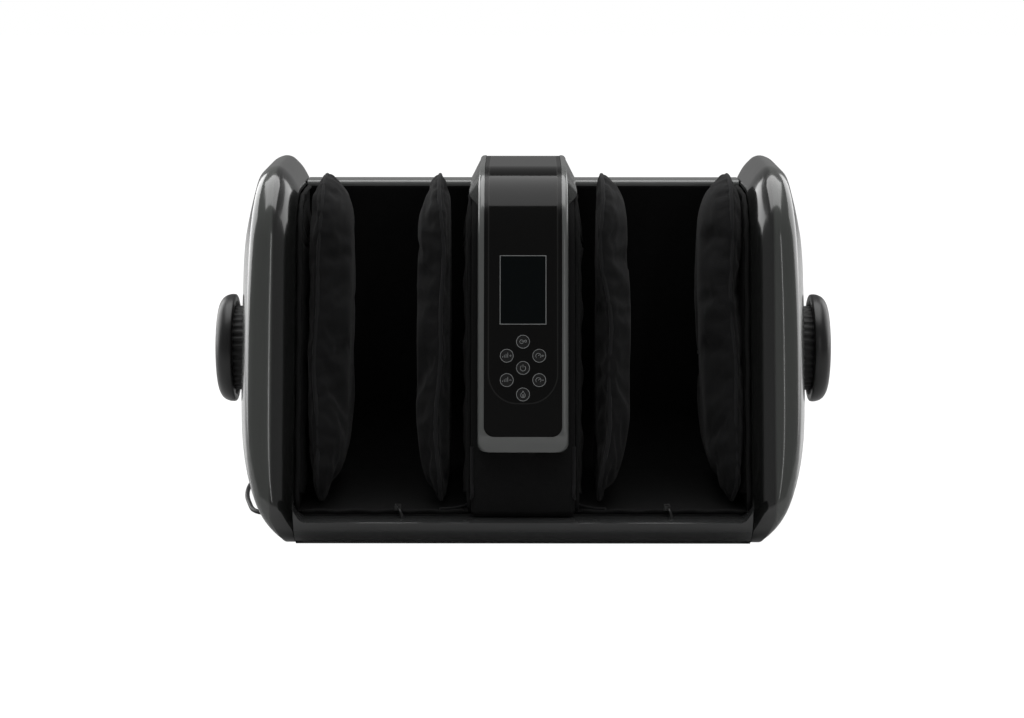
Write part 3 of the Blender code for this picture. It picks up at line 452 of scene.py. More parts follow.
# %% The lead as one curve
plug_low, plug_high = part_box("plug")
plug_back = Vector((plug_low.x, (plug_low.y + plug_high.y) / 2,
                    (plug_low.z + plug_high.z) / 2))
along_x = Vector((1.0, 0.0, 0.0))
relief_end = Vector((relief_x, relief_high.y + seat_gap, relief_z))
quarter = points_in_turn // 4
coil_line = coil_points()[:-quarter]
turn_x = coil_line[-1].x + coil_outer
knots = [relief_end, relief_end + Vector((0.0, cord_diameter * 3, 0.0))]
knots += [Vector(point) for point in lead_route]
knots += [coil_line[0] - along_x * cord_diameter * 2, coil_line[0] - along_x * cord_diameter]
knots += coil_line
for step in range(1, quarter):
    angle = math.pi / 2 * step / quarter
    rise = (plug_back.z - coil_line[-1].z) * step / quarter
    knots.append(Vector((turn_x - coil_outer * math.cos(angle),
                         coil_y + coil_outer * math.sin(angle), coil_line[-1].z + rise)))
knots += [plug_back - along_x * cord_diameter / 2, plug_back - along_x * seat_gap]
lead_line = smooth_line(knots, 4)
for point in lead_line:
    point.z = max(point.z, floor_lay)
lead_length = lengths_along(lead_line)[-1]

lead_data = bpy.data.curves.new("mains_lead", "CURVE")
lead_data.dimensions = "3D"
lead_data.bevel_depth = cord_diameter / 2
lead_data.bevel_resolution = 3
lead_data.use_fill_caps = True
lead_spline = lead_data.splines.new("POLY")
lead_spline.points.add(len(lead_line) - 1)
for knot, point in zip(lead_spline.points, lead_line):
    knot.co = (*point, 1.0)
mains_lead = placed("mains_lead", lead_data)
lead_data.materials.append(cord_black)
lead_spline.use_smooth = True
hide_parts("cord_lead", "cord_coil")
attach(mains_lead, "housing")
print("lead_m", round(lead_length, 3))

# %% [markdown]
# ## Outlines of the body
# The shells, wells, lip and cover all follow one side outline: four corners with
# their own radii. Moving its edges inwards gives every other outline, so one
# change of a corner moves them all together. The solids were drawn the same way,
# and here the arcs only get more points.

# %% Sizes of the body
shell_low, shell_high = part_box("left_side_shell")
knob_low, knob_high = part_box("right_knob")
top_height = shell_high.z
underside_z = shell_low.z
half_body = -shell_low.x
well_edge_x = -shell_high.x
half_overall = knob_high.x
toe_radius = 0.040
heel_radius = 0.085
crown_radius = 0.125
brow_radius = 0.080
body_corners = (
    (-0.2069, underside_z, toe_radius),
    (0.2187, underside_z, heel_radius),
    (0.130, top_height, crown_radius),
    (-0.118, top_height, brow_radius),
)
TOE, HEEL, CROWN, BROW = range(4)
print("half_overall", round(half_overall, 4), "top_height", round(top_height, 4))


# %% Outline functions
def inset_corners(corners, inset):
    points = [Vector(corner[:2]) for corner in corners]
    edges = []
    for index, point in enumerate(points):
        along = (points[(index + 1) % len(points)] - point).normalized()
        edges.append((point + Vector((-along.y, along.x)) * inset, along))
    moved = []
    for index in range(len(points)):
        before, before_along = edges[index - 1]
        after, after_along = edges[index]
        turn = before_along.cross(after_along)
        reach = (after - before).cross(after_along) / turn
        moved.append(before + before_along * reach)
    return moved


def corner_arc(before, point, after, radius, steps):
    arriving = (point - before).normalized()
    leaving = (after - point).normalized()
    turn = math.atan2(arriving.cross(leaving), arriving.dot(leaving))
    if turn <= 0 or radius <= 0:
        return [point.copy()]
    inward = Vector((-arriving.y, arriving.x))
    start = point - arriving * radius * math.tan(turn / 2)
    centre = start + inward * radius
    spoke = start - centre
    return [centre + Matrix.Rotation(turn * step / steps, 2) @ spoke
            for step in range(steps + 1)]


def outline(corners, inset=0.0, steps=20, least_radius=0.004, between=8):
    """An outline with fine arcs; its straight runs get points as well."""
    moved = inset_corners(corners, inset)
    arcs = []
    for index, point in enumerate(moved):
        radius = corners[index][2]
        if radius > 0:
            radius = max(radius - inset, least_radius)
        after = moved[(index + 1) % len(moved)]
        arcs.append(corner_arc(moved[index - 1], point, after, radius, steps))
    points = []
    for index, arc in enumerate(arcs):
        points += arc
        start = arc[-1]
        end = arcs[(index + 1) % len(arcs)][0]
        points += [start.lerp(end, step / between) for step in range(1, between)]
    return points


def front_y(height, inset=0.0):
    moved = inset_corners(body_corners, inset)
    share = (height - moved[TOE].y) / (moved[BROW].y - moved[TOE].y)
    return moved[TOE].x + (moved[BROW].x - moved[TOE].x) * share


front_lean = math.atan2(body_corners[BROW][0] - body_corners[TOE][0],
                        top_height - underside_z)
face_out = Vector((0.0, -math.cos(front_lean), math.sin(front_lean)))
face_up = Vector((0.0, math.sin(front_lean), math.cos(front_lean)))
print("half_body", round(half_body, 4), "well_edge", round(well_edge_x, 4),
      "lean_deg", round(math.degrees(front_lean), 2))

# %% [markdown]
# ## Making and placing meshes
# Most shapes here are lofts: rings of points with faces between them. The helpers
# build a mesh from rings, turn a profile into a round piece, and give a finished
# piece its material and the body that carries it.

# %% Placing helpers
def settle(thing, body, slot, *nodes):
    """Says which body carries a piece, and the solids it stands for. The slot is not used."""
    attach(thing, body)
    if nodes:
        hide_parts(*nodes)
    return thing


def mesh_of(form, name):
    """Turns a form into mesh data whose faces look outwards, and frees the form."""
    bmesh.ops.recalc_face_normals(form, faces=form.faces)
    data = bpy.data.meshes.new(name)
    form.to_mesh(data)
    form.free()
    return data


def add_piece(name, form, material, smooth_angle=40):
    data = mesh_of(form, name)
    data.materials.append(material)
    thing = placed(name, data)
    data.shade_smooth()
    if smooth_angle < 180:
        data.set_sharp_from_angle(angle=math.radians(smooth_angle))
    return thing


def bake_modifiers(thing):
    """Works the modifiers in, so that the mesh is final."""
    graph = bpy.context.evaluated_depsgraph_get()
    graph.update()
    data = bpy.data.meshes.new_from_object(thing.evaluated_get(graph))
    thing.modifiers.clear()
    thing.data = data
    return thing


def cut_away(thing, cutter_form):
    """Cuts a form out of a piece for good, and leaves no cutter behind."""
    cutter = placed("cutter", mesh_of(cutter_form, "cutter"))
    step = thing.modifiers.new("cut", "BOOLEAN")
    step.operation = "DIFFERENCE"
    step.solver = "EXACT"
    step.object = cutter
    bake_modifiers(thing)
    bpy.data.objects.remove(cutter)


print("placing helpers ready")


# %% Form helpers
def quarter_turn(steps):
    """Angles from 0 to a right angle, in equal steps."""
    return [math.pi / 2 * step / steps for step in range(steps + 1)]


def loft_form(rings, cap_first=True, cap_last=True):
    form = bmesh.new()
    rows = [[form.verts.new(point) for point in ring] for ring in rings]
    count = len(rows[0])
    for low, high in zip(rows, rows[1:]):
        for index in range(count):
            after = (index + 1) % count
            form.faces.new((low[index], low[after], high[after], high[index]))
    if cap_first:
        form.faces.new(list(reversed(rows[0])))
    if cap_last:
        form.faces.new(rows[-1])
    return form


def sheet_form(rows):
    """An open surface from rows of points."""
    form = bmesh.new()
    made = [[form.verts.new(point) for point in row] for row in rows]
    for low, high in zip(made, made[1:]):
        for index in range(len(low) - 1):
            form.faces.new((low[index], low[index + 1], high[index + 1], high[index]))
    return form


print("loft helpers ready")


# %% Turned and extruded forms
def lathe_form(profile, place, steps=96):
    """(radius, height) pairs turned round local Z; a zero radius closes the end."""
    form = bmesh.new()
    rows = []
    for radius, height in profile:
        if radius <= 0:
            rows.append([form.verts.new(place @ Vector((0.0, 0.0, height)))])
            continue
        ring = []
        for step in range(steps):
            angle = 2 * math.pi * step / steps
            local = Vector((radius * math.cos(angle), radius * math.sin(angle), height))
            ring.append(form.verts.new(place @ local))
        rows.append(ring)
    for above, below in zip(rows, rows[1:]):
        for step in range(steps):
            after = (step + 1) % steps
            if len(above) == 1:
                form.faces.new((above[0], below[step], below[after]))
            elif len(below) == 1:
                form.faces.new((above[step], below[0], above[after]))
            else:
                form.faces.new((above[step], below[step], below[after], above[after]))
    bmesh.ops.remove_doubles(form, verts=form.verts, dist=0.000001)
    return form


def smooth_profile(points, pieces=4):
    """A finer profile on a smooth curve through the given pairs."""
    return [(point.x, point.y)
            for point in smooth_line([Vector((*pair, 0.0)) for pair in points], pieces)]


def extruded_form(points, low_x, high_x):
    return loft_form([[Vector((x, point.x, point.y)) for point in points]
                      for x in (low_x, high_x)])


def box_form(low, high):
    form = bmesh.new()
    bmesh.ops.create_cube(form, size=1.0)
    bmesh.ops.scale(form, vec=Vector(high) - Vector(low), verts=form.verts)
    bmesh.ops.translate(form, vec=(Vector(low) + Vector(high)) / 2, verts=form.verts)
    return form


print("turned and extruded forms ready")


# %% Tubes and joined forms
def tube_form(line, radius, sides=10, closed=False):
    """A round tube along a line, with flat ends, or none where the line is closed."""
    form = bmesh.new()
    rows = []
    count = len(line)
    across = Vector((1.0, 0.0, 0.0))
    if not closed:
        across = (line[1] - line[0]).orthogonal().normalized()
    for index, point in enumerate(line):
        if closed:
            along = (line[(index + 1) % count] - line[index - 1]).normalized()
            across = Vector((1.0, 0.0, 0.0))
        else:
            along = (line[min(index + 1, count - 1)] - line[max(index - 1, 0)]).normalized()
        across = (across - along * across.dot(along)).normalized()
        third = along.cross(across)
        width = radius(index / (count - 1)) if callable(radius) else radius
        rows.append([form.verts.new(point + (across * math.cos(2 * math.pi * side / sides)
                                             + third * math.sin(2 * math.pi * side / sides))
                                    * width) for side in range(sides)])
    pairs = list(zip(rows, rows[1:])) + ([(rows[-1], rows[0])] if closed else [])
    for low, high in pairs:
        for side in range(sides):
            after = (side + 1) % sides
            form.faces.new((low[side], low[after], high[after], high[side]))
    if not closed:
        form.faces.new(rows[0][::-1])
        form.faces.new(rows[-1])
    return form


def joined(*forms):
    """Several forms in one, each still a closed shell of its own."""
    whole = bmesh.new()
    for form in forms:
        data = mesh_of(form, "part")
        whole.from_mesh(data)
        bpy.data.meshes.remove(data)
    return whole


print("tubes ready")


# %% Places on the body
def facing(side, x, y, z):
    place = Matrix.Rotation(side * math.pi / 2, 4, "Y")
    place.translation = Vector((x, y, z))
    return place


def face_frame(x, height):
    """Placement on the console face: local X across, Y up the face, Z out of it."""
    place = Matrix((Vector((1.0, 0.0, 0.0)), face_up, face_out)).transposed().to_4x4()
    place.translation = Vector((x, front_y(height), height))
    return place


def face_box(x, height, half_width, half_length, low, high):
    form = box_form((-half_width, -half_length, low), (half_width, half_length, high))
    bmesh.ops.transform(form, matrix=face_frame(x, height), verts=form.verts)
    return form


print("placements ready")

# %% [markdown]
# ## Side shells
# Each side is one moulding with a blunt front edge, a chamfer towards the well
# and a barrel-shaped outer face that draws in above and tucks in below. The
# rings run from the hole for the knob, over the outer face, round the edge and
# down the chamfer. A smooth curve through a few chosen stations gives enough
# rings for clean reflections on gloss plastic.

# %% The shells' sizes
dome_inset = 0.112
rim_inset = 0.024
shell_top_drop = 0.0098
shell_bottom_drop = 0.044
shell_wall = 0.0025
shell_least_radius = 0.020
rim_fade_start = 0.006
rim_fade_height = 0.042
edge_between = 14
ring_steps = 5
hub_z = (knob_low.z + knob_high.z) / 2
bore_radius = 0.0083
dome_shares = (
    (1.00, 1.000), (0.76, 0.968), (0.535, 0.921), (0.31, 0.856),
    (0.16, 0.798), (0.08, 0.754), (0.033, 0.667), (0.009, 0.560),
)
rim_shares = (
    (0.00, 0.465), (0.042, 0.368), (0.146, 0.289), (0.458, 0.146), (1.00, 0.000),
)


print("shell stations", len(dome_shares) + len(rim_shares))


# %% The shells' rings
def shell_width(inset, height):
    middle_z = (top_height + underside_z) / 2
    rise = (height - middle_z) / (top_height - middle_z)
    drop = shell_top_drop * rise ** 2 if rise > 0 else shell_bottom_drop * rise ** 4
    return half_body - well_edge_x - drop * (1 - (inset / dome_inset) ** 2)


def rim_share(point):
    """The chamfer fades out near the floor at the front, where the lip runs in."""
    if point.x > 0:
        return 1.0
    return eased((point.y - underside_z - rim_fade_start) / rim_fade_height)


def shell_rings(side):
    edge = outline(body_corners, 0.0, least_radius=shell_least_radius,
                   between=edge_between)
    first_rim = (len(dome_shares) - 1) * ring_steps
    stations = [(inset * dome_inset, out) for inset, out in dome_shares]
    stations += [(inset * rim_inset, out) for inset, out in rim_shares]
    rings = []
    for step, (inset, out) in enumerate(smooth_profile(stations, ring_steps)):
        inset = min(max(inset, 0.0), dome_inset)
        ring = []
        for outer, point in zip(edge, outline(body_corners, inset, between=edge_between,
                                              least_radius=shell_least_radius)):
            if step > first_rim:
                point = outer.lerp(point, rim_share(outer))
            x = well_edge_x + min(max(out, 0.0), 1.0) * shell_width(inset, point.y)
            ring.append(Vector((side * x, point.x, point.y)))
        rings.append(ring)
    centre = Vector((side * half_body, 0.0, hub_z))
    bore = [centre + (point - centre).normalized() * bore_radius for point in rings[0]]
    return [bore] + rings


print("rings in a shell", len(shell_rings(1)))

# %% Both shells
for hand, side in (("left", -1), ("right", 1)):
    shell = add_piece(hand + "_shell_skin",
                      loft_form(shell_rings(side), cap_first=False, cap_last=False),
                      shell_grey, 50)
    flat = max(shell.data.polygons, key=lambda face: abs(face.normal.x))
    if flat.normal.x * side < 0:
        shell.data.flip_normals()
    wall = shell.modifiers.new("wall", "SOLIDIFY")
    wall.thickness = shell_wall
    wall.offset = -1.0
    bake_modifiers(shell)
    settle(shell, "housing", "grey_shell", hand + "_side_shell")
print("side shells made")

# %% [markdown]
# ## Knobs
# A hand knob is a turned piece, so its outline is drawn once and spun. The soft
# shoulder and the recess behind it come from that outline. The hub behind it is
# a ribbed ring, which shows in the gap between the knob and the shell.

# %% The knobs' sizes
knob_radius = (knob_high.z - knob_low.z) / 2
knob_thick = 0.0175
knob_recess = 0.003
knob_rim = 0.007
stud_radius = 0.008
stud_end_x = knob_low.x
hub_radius = 0.040
rib_count = 36
rib_rise = 0.0009
rib_start = 0.4
hub_edge_share = 0.12
knob_shares = (
    (0.00, 0.000), (0.40, 0.004), (0.62, 0.022), (0.80, 0.085), (0.91, 0.230),
    (0.97, 0.430), (1.00, 0.680), (1.00, 0.900), (0.985, 0.975), (0.955, 1.000),
    (0.880, 1.000),
)


def ribbed(form, place, inner_radius):
    """Presses grooves into the outside of a turned form."""
    back = place.inverted()
    for vertex in form.verts:
        local = back @ vertex.co
        spoke = Vector((local.x, local.y, 0.0))
        turn = math.atan2(local.y, local.x)
        if spoke.length > inner_radius and math.sin(turn * rib_count + rib_start) < 0:
            vertex.co = place @ (local - spoke.normalized() * rib_rise)
    return form


print("knob_radius", round(knob_radius, 4))

# %% Both knobs and hubs
for hand, side in (("left", -1), ("right", 1)):
    place = facing(side, 0.0, 0.0, hub_z)
    recess_x = half_overall - knob_thick + knob_recess
    shoulder = smooth_profile([(knob_radius * r, half_overall - knob_thick * d)
                               for r, d in knob_shares], 4)
    profile = [(max(r, 0.0), min(z, half_overall)) for r, z in shoulder]
    profile += [
        (knob_radius - knob_rim, recess_x),
        (stud_radius, recess_x),
        (stud_radius, stud_end_x),
        (0.0, stud_end_x),
    ]
    knob = add_piece(hand + "_hand_knob", lathe_form(profile, place), knob_black, 50)
    settle(knob, hand + "_knob", "knob_plastic", hand + "_knob")
    hub_low = half_body + seat_gap
    hub_high = recess_x - seat_gap
    edge = (hub_high - hub_low) * hub_edge_share
    profile = (
        (bore_radius, hub_high),
        (hub_radius - edge, hub_high),
        (hub_radius, hub_high - edge),
        (hub_radius, hub_low),
        (bore_radius, hub_low),
        (bore_radius, hub_high),
    )
    form = ribbed(lathe_form(profile, place, rib_count * 4), place, hub_radius - edge * 0.5)
    hub = add_piece(hand + "_hub_ring", form, moulded_black, 30)
    settle(hub, "housing", "black_plastic", hand + "_knob_hub")
print("knobs and hubs made")

# %% [markdown]
# ## Lip and back cover
# Both run from one side shell to the other. The lip is a loft: its nose follows
# the same arc as the shells, and its top sweeps up at either end towards the
# bevel. A narrow gap stays at the shells and shows as a dark line. The cover is
# an extrusion with a rolled bar at its front top edge, and a hole for the lead.

# %% The lip
tray_back_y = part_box("base_tray")[1].y
lip_low, lip_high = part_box("front_lip")
reach = well_edge_x - seat_gap
lip_round = 0.003
lip_corner = 0.011
lip_sweep = 0.020
lip_end_steps = 12
nose_points = 48
slope_heights = (0.066, 0.060, 0.054, 0.048, 0.042)
corners = inset_corners(body_corners, seat_gap)
arc = corner_arc(corners[BROW], corners[TOE], corners[HEEL], toe_radius - seat_gap, 80)
slope = [Vector((front_y(height, seat_gap), height)) for height in slope_heights]
nose_line = slope + [point for point in arc if point.y < slope[-1].y and point.x < lip_high.y]


def evenly(points, count):
    """The same line with evenly spaced points."""
    walked = lengths_along(points)
    even = []
    index = 0
    for step in range(count):
        goal = walked[-1] * step / (count - 1)
        while index < len(points) - 2 and walked[index + 1] < goal:
            index += 1
        share = (goal - walked[index]) / (walked[index + 1] - walked[index])
        even.append(points[index].lerp(points[index + 1], share))
    return even


def lip_ring(x):
    """The lip's section; its top sweeps up in a quarter round at either end."""
    inside = reach - abs(x)
    rise = 0.0
    if inside < lip_corner:
        rise = lip_sweep * (1 - math.sqrt(max(0.0, 1 - (1 - inside / lip_corner) ** 2)))
    top = lip_high.z + rise
    nose = evenly([point for point in nose_line if point.y < top - lip_round / 4],
                  nose_points)
    back = min(lip_high.y, nose[0].x + lip_high.y - lip_low.y - rise * 0.9)
    points = nose + [Vector((lip_high.y, lip_low.z)), Vector((back, top - lip_round / 2)),
                     Vector((back - lip_round, top)), Vector((nose[0].x + lip_round, top))]
    return [Vector((x, point.x, point.y)) for point in points]


stations = [reach - lip_corner * (1 - math.sin(angle)) for angle in quarter_turn(lip_end_steps)]
stations = [-x for x in reversed(stations)] + [0.0] + stations
lip = add_piece("lip_bar", loft_form([lip_ring(x) for x in stations]), lip_grey_painted_shade, 35)
settle(lip, "housing", "grey_shell", "front_lip")
print("lip rings", len(stations))

# %% The back cover
cover_inset = 0.021
cover_wall = 0.0025
bar_front_y = 0.0115
bar_length = 0.017
bar_depth = 0.013
bar_roll = 0.0043
heel_start = tray_back_y - 0.003


def cover_arc(inset, corner, radius):
    corners = inset_corners(body_corners, inset)
    return corner_arc(corners[corner - 1], corners[corner], corners[(corner + 1) % 4],
                      radius - inset, 60)


def cover_outline():
    inner_inset = cover_inset + cover_wall
    top_z = top_height - cover_inset
    bar_back_y = bar_front_y + bar_length
    heel = [Vector((heel_start, underside_z + cover_inset))]
    heel += cover_arc(cover_inset, HEEL, heel_radius)
    inner_heel = [Vector((heel_start, underside_z + inner_inset))]
    inner_heel += cover_arc(inner_inset, HEEL, heel_radius)
    crown = [point for point in cover_arc(cover_inset, CROWN, crown_radius)
             if point.x > bar_front_y + bar_roll * 2]
    inner_crown = [point for point in cover_arc(inner_inset, CROWN, crown_radius)
                   if point.x > bar_back_y + cover_wall]
    bar_top = Vector((bar_front_y, top_z))
    bar_low = Vector((bar_front_y, top_z - bar_depth))
    bar_heel = Vector((bar_back_y, top_z - bar_depth))
    bar = corner_arc(Vector((bar_back_y, top_z)), bar_top, bar_low, bar_roll, 12)
    bar += corner_arc(bar_top, bar_low, bar_heel, bar_roll, 12)
    bar += [bar_heel, Vector((bar_back_y, top_z - cover_wall))]
    return heel + crown + bar + inner_crown[::-1] + inner_heel[::-1]


cover = add_piece("back_skin", extruded_form(cover_outline(), -reach, reach),
                  console_grey_painted_light, 30)
hole_place = Matrix.Rotation(-math.pi / 2, 4, "X")
hole_place.translation = Vector((relief_x, relief_low.y, relief_z))
hole_radius = relief_radius + seat_gap
relief_reach = relief_high.y - relief_low.y
cut_away(cover, lathe_form(((0.0, relief_reach), (hole_radius, relief_reach),
                            (hole_radius, -bar_roll), (0.0, -bar_roll)), hole_place, 48))
settle(cover, "housing", "grey_shell", "back_cover")
print("cover made")

# %% [markdown]
# ## The console
# The console is a long strip that climbs the front, bends over the top and sinks
# into the back cover. Stations along the outline carry a cross-section with round
# shoulders. At the lower end a chamfer catches the light, and over the top the
# flanks flare out to meet the bar. The pocket for the panel is cut afterwards.

# %% The console's sizes
console_half_width = 0.0406
console_depth = cover_inset - seat_gap
console_bottom_z = 0.0932
console_tail_angle = math.radians(62)
console_shoulder = 0.0040
console_corner = 0.0080
chamfer_length = 0.0125
chamfer_depth = 0.0085
flank_flare = 0.0085
flare_length = 0.030
tail_thick = 0.0015
sink_power = 1.6
deepest_sink = 0.97
cut_reach = 0.004
fascia_half_width = 0.0347
fascia_bottom_z = 0.1062
fascia_corner = 0.009
fascia_recess = 0.0006
fascia_thick = 0.0026
fascia_tail_angle = math.radians(30)
pocket_depth = fascia_recess + fascia_thick + seat_gap


print("pocket_mm", round(pocket_depth * 1000, 2))


# %% Stations along the console
def console_path(start_z, tail_angle, steps=36):
    """(point, inward, length so far) from the front, over the brow, down the crown."""
    corners = inset_corners(body_corners, 0.0)
    brow = corner_arc(corners[CROWN], corners[BROW], corners[TOE], brow_radius, steps)[::-1]
    crown = corner_arc(corners[HEEL], corners[CROWN], corners[BROW], crown_radius, steps)
    sweep = math.pi / 2 - math.atan2(corners[HEEL].x - corners[CROWN].x,
                                     top_height - underside_z)
    crown = crown[::-1][:round(steps * tail_angle / sweep) + 1]
    inward = Vector((math.cos(front_lean), -math.sin(front_lean)))
    start = Vector((front_y(start_z), start_z))
    spots = [(start.lerp(brow[0], share / steps), inward) for share in range(steps)]
    for arc, radius, middle_y in ((brow, brow_radius, brow[-1].x),
                                  (crown, crown_radius, crown[0].x)):
        centre = Vector((middle_y, top_height - radius))
        spots += [(point, (centre - point).normalized()) for point in arc]
    walked = lengths_along([point for point, _ in spots])
    return [(point, inward, length) for (point, inward), length in zip(spots, walked)]


def at_length(path, length):
    """The point and the inward direction at a length along a path."""
    for (a, a_in, low), (b, b_in, high) in zip(path, path[1:]):
        if low <= length <= high and high > low:
            share = (length - low) / (high - low)
            return a.lerp(b, share), a_in.lerp(b_in, share).normalized()
    return path[-1][0], path[-1][1]


def round_lengths(total, corner, count=10, inner=90):
    """Lengths that crowd at both ends, and how far a round corner draws in there."""
    ends = [corner * (1 - math.cos(angle)) for angle in quarter_turn(count)]
    drawn = [corner * (1 - math.sin(angle)) for angle in quarter_turn(count)]
    middle = [corner + (total - corner * 2) * step / inner for step in range(1, inner)]
    lengths = ends + middle + [total - end for end in reversed(ends)]
    return lengths, drawn + [0.0] * len(middle) + drawn[::-1]


console_length = console_path(console_bottom_z, console_tail_angle)[-1][2]
print("console_length_mm", round(console_length * 1000))


# %% The console frame
def frame_section(point, inward, half, low_half, top_inset, shoulder):
    """One cross-section: up a flank, round a shoulder, over, and down again."""
    right = [(half - shoulder * (1 - math.sin(angle)),
              top_inset + shoulder * (1 - math.cos(angle))) for angle in quarter_turn(6)]
    flat = half - shoulder
    spots = [(-low_half, console_depth)] + [(-x, inset) for x, inset in reversed(right)]
    spots += [(flat * (2 * step / 8 - 1), top_inset) for step in range(1, 8)]
    spots += right + [(low_half, console_depth)]
    ring = []
    for x, inset in spots:
        place = point + inward * inset
        ring.append(Vector((x, place.x, place.y)))
    return ring


def console_frame_form():
    path = console_path(console_bottom_z, console_tail_angle)
    total = path[-1][2]
    flare_start = next(length for point, _, length in path
                       if point.y > top_height - brow_radius * 0.26)
    sink_start = console_path(fascia_bottom_z, fascia_tail_angle)[-1][2]
    sink_start += (fascia_bottom_z - console_bottom_z) / math.cos(front_lean) + seat_gap * 9
    rings = []
    for length, narrow in zip(*round_lengths(total, console_corner)):
        point, inward = at_length(path, length)
        sunk = (length - sink_start) / (total - sink_start)
        sunk = min(max(0.0, sunk), deepest_sink) ** sink_power
        ease = max(0.0, 1 - length / chamfer_length)
        top_inset = chamfer_depth * ease + (console_depth - tail_thick) * sunk
        flare = flank_flare * eased((length - flare_start) / flare_length)
        half = console_half_width - (narrow if length < total / 2 else 0.0)
        shoulder = min(console_shoulder, (console_depth - top_inset) * 0.8)
        rings.append(frame_section(point, inward, half, half + flare, top_inset, shoulder))
    return loft_form(rings)


def panel_strip_form(grow, outer, inner):
    """The fascia's outline laid along the path, or its pocket when it is grown."""
    path = console_path(fascia_bottom_z - grow, fascia_tail_angle)
    rings = []
    for length, narrow in zip(*round_lengths(path[-1][2] + grow, fascia_corner + grow)):
        point, inward = at_length(path, length)
        half = fascia_half_width + grow - narrow
        ring = []
        for inset, direction in ((outer, 1), (inner, -1)):
            place = point + inward * inset
            ring += [Vector((direction * half * (2 * step / 8 - 1), place.x, place.y))
                     for step in range(9)]
        rings.append(ring)
    return loft_form(rings)


console = add_piece("console_surround", console_frame_form(), console_grey_painted_light, 40)
cut_away(console, panel_strip_form(seat_gap, -cut_reach, pocket_depth))
settle(console, "housing", "grey_shell", "console_frame")
print("console made")

# %% [markdown]
# ## The panel and its window
# The panel is a thin strip that lies in the console's pocket, bent over the same
# path. The window and the key holes are cut right through it, and on into the
# console behind. A thin printed border runs round the window.

# %% Panel
screen_half_width = 0.02075
screen_half_length = 0.031
screen_z = 0.2328
border_width = 0.0006
print_rise = 0.00012
key_radius = 0.0064
key_flange = 0.0010
key_side_x = 0.01444
key_places = {
    "key_mode": (0.0, 0.1880),
    "key_left_strength": (-key_side_x, 0.1759),
    "key_right_speed": (key_side_x, 0.1759),
    "key_power": (0.0, 0.1654),
    "key_left_calf": (-key_side_x, 0.1549),
    "key_right_foot": (key_side_x, 0.1549),
    "key_heat": (0.0, 0.1426),
}


through = console_depth * 1.5


def key_hole(x, height, radius):
    low = -through
    return lathe_form(((0.0, cut_reach), (radius, cut_reach), (radius, low), (0.0, low)),
                      face_frame(x, height), 48)


panel = add_piece("gloss_panel",
                  panel_strip_form(0.0, fascia_recess, fascia_recess + fascia_thick),
                  panel_black, 30)
for piece in (panel, console):
    cut_away(piece, face_box(0.0, screen_z, screen_half_width + seat_gap,
                             screen_half_length + seat_gap, -through, cut_reach))
for x, height in key_places.values():
    cut_away(panel, key_hole(x, height, key_radius + seat_gap))
    cut_away(console, key_hole(x, height, key_radius + key_flange + seat_gap))
settle(panel, "housing", "panel_gloss", "panel_fascia")

bars = []
for half_width, half_length, x, up in (
        (screen_half_width, border_width / 2, 0, 1),
        (screen_half_width, border_width / 2, 0, -1),
        (border_width / 2, screen_half_length - border_width, 1, 0),
        (border_width / 2, screen_half_length - border_width, -1, 0)):
    bar = face_box(0.0, screen_z, half_width, half_length, -fascia_recess,
                   print_rise - fascia_recess)
    shift = Vector((x * (screen_half_width - border_width / 2), 0.0, 0.0))
    shift += face_up * (up * (screen_half_length - border_width / 2))
    bmesh.ops.translate(bar, vec=shift, verts=bar.verts)
    bars.append(bar)
border = add_piece("window_border", joined(*bars), print_grey, 30)
settle(border, "housing", "screen")
print("panel made")

# %% [markdown]
# ## Keys and their signs
# Each key is a small turned cap with a light ring round its edge and a sign in
# the middle. The signs are the usual ones: power, heat, bars for strength and a
# gauge for speed. Each sign is a few strokes in shares of the key's radius, and
# every stroke becomes a thin raised ribbon, so it moves with its key.

# %% Strokes
def arc_stroke(x, y, radius, start, end, steps=16):
    angles = [math.radians(start + (end - start) * step / steps) for step in range(steps + 1)]
    return [(x + radius * math.cos(angle), y + radius * math.sin(angle)) for angle in angles]


minus_stroke = [[(0.36, 0.0), (0.66, 0.0)]]
plus_stroke = minus_stroke + [[(0.51, -0.15), (0.51, 0.15)]]
bars_stroke = [[(-0.58 + 0.24 * step, -0.26), (-0.58 + 0.24 * step, -0.06 + 0.16 * step)]
               for step in range(4)]
gauge_stroke = [arc_stroke(-0.12, -0.02, 0.36, -40, 220), [(-0.12, -0.02), (0.06, 0.16)]]
flame_stroke = [
    [(0.0, 0.48), (-0.10, 0.26), (-0.30, 0.02), (-0.33, -0.22), (-0.18, -0.42), (0.0, -0.46),
     (0.18, -0.42), (0.33, -0.22), (0.30, 0.02), (0.14, 0.22), (0.0, 0.48)],
    [(0.0, 0.02), (-0.12, -0.18), (-0.06, -0.34), (0.06, -0.34), (0.12, -0.18), (0.0, 0.02)],
]
key_signs = {
    "key_mode": [arc_stroke(-0.20, 0.0, 0.26, 40, 400), arc_stroke(0.34, 0.08, 0.15, 0, 360),
                 [(-0.20, 0.0), (-0.06, 0.0)]],
    "key_left_strength": bars_stroke + plus_stroke,
    "key_right_speed": gauge_stroke + plus_stroke,
    "key_power": [arc_stroke(0.0, -0.04, 0.38, 125, 415), [(0.0, 0.06), (0.0, 0.46)]],
    "key_left_calf": bars_stroke + minus_stroke,
    "key_right_foot": gauge_stroke + minus_stroke,
    "key_heat": flame_stroke,
}
print("signs", len(key_signs))


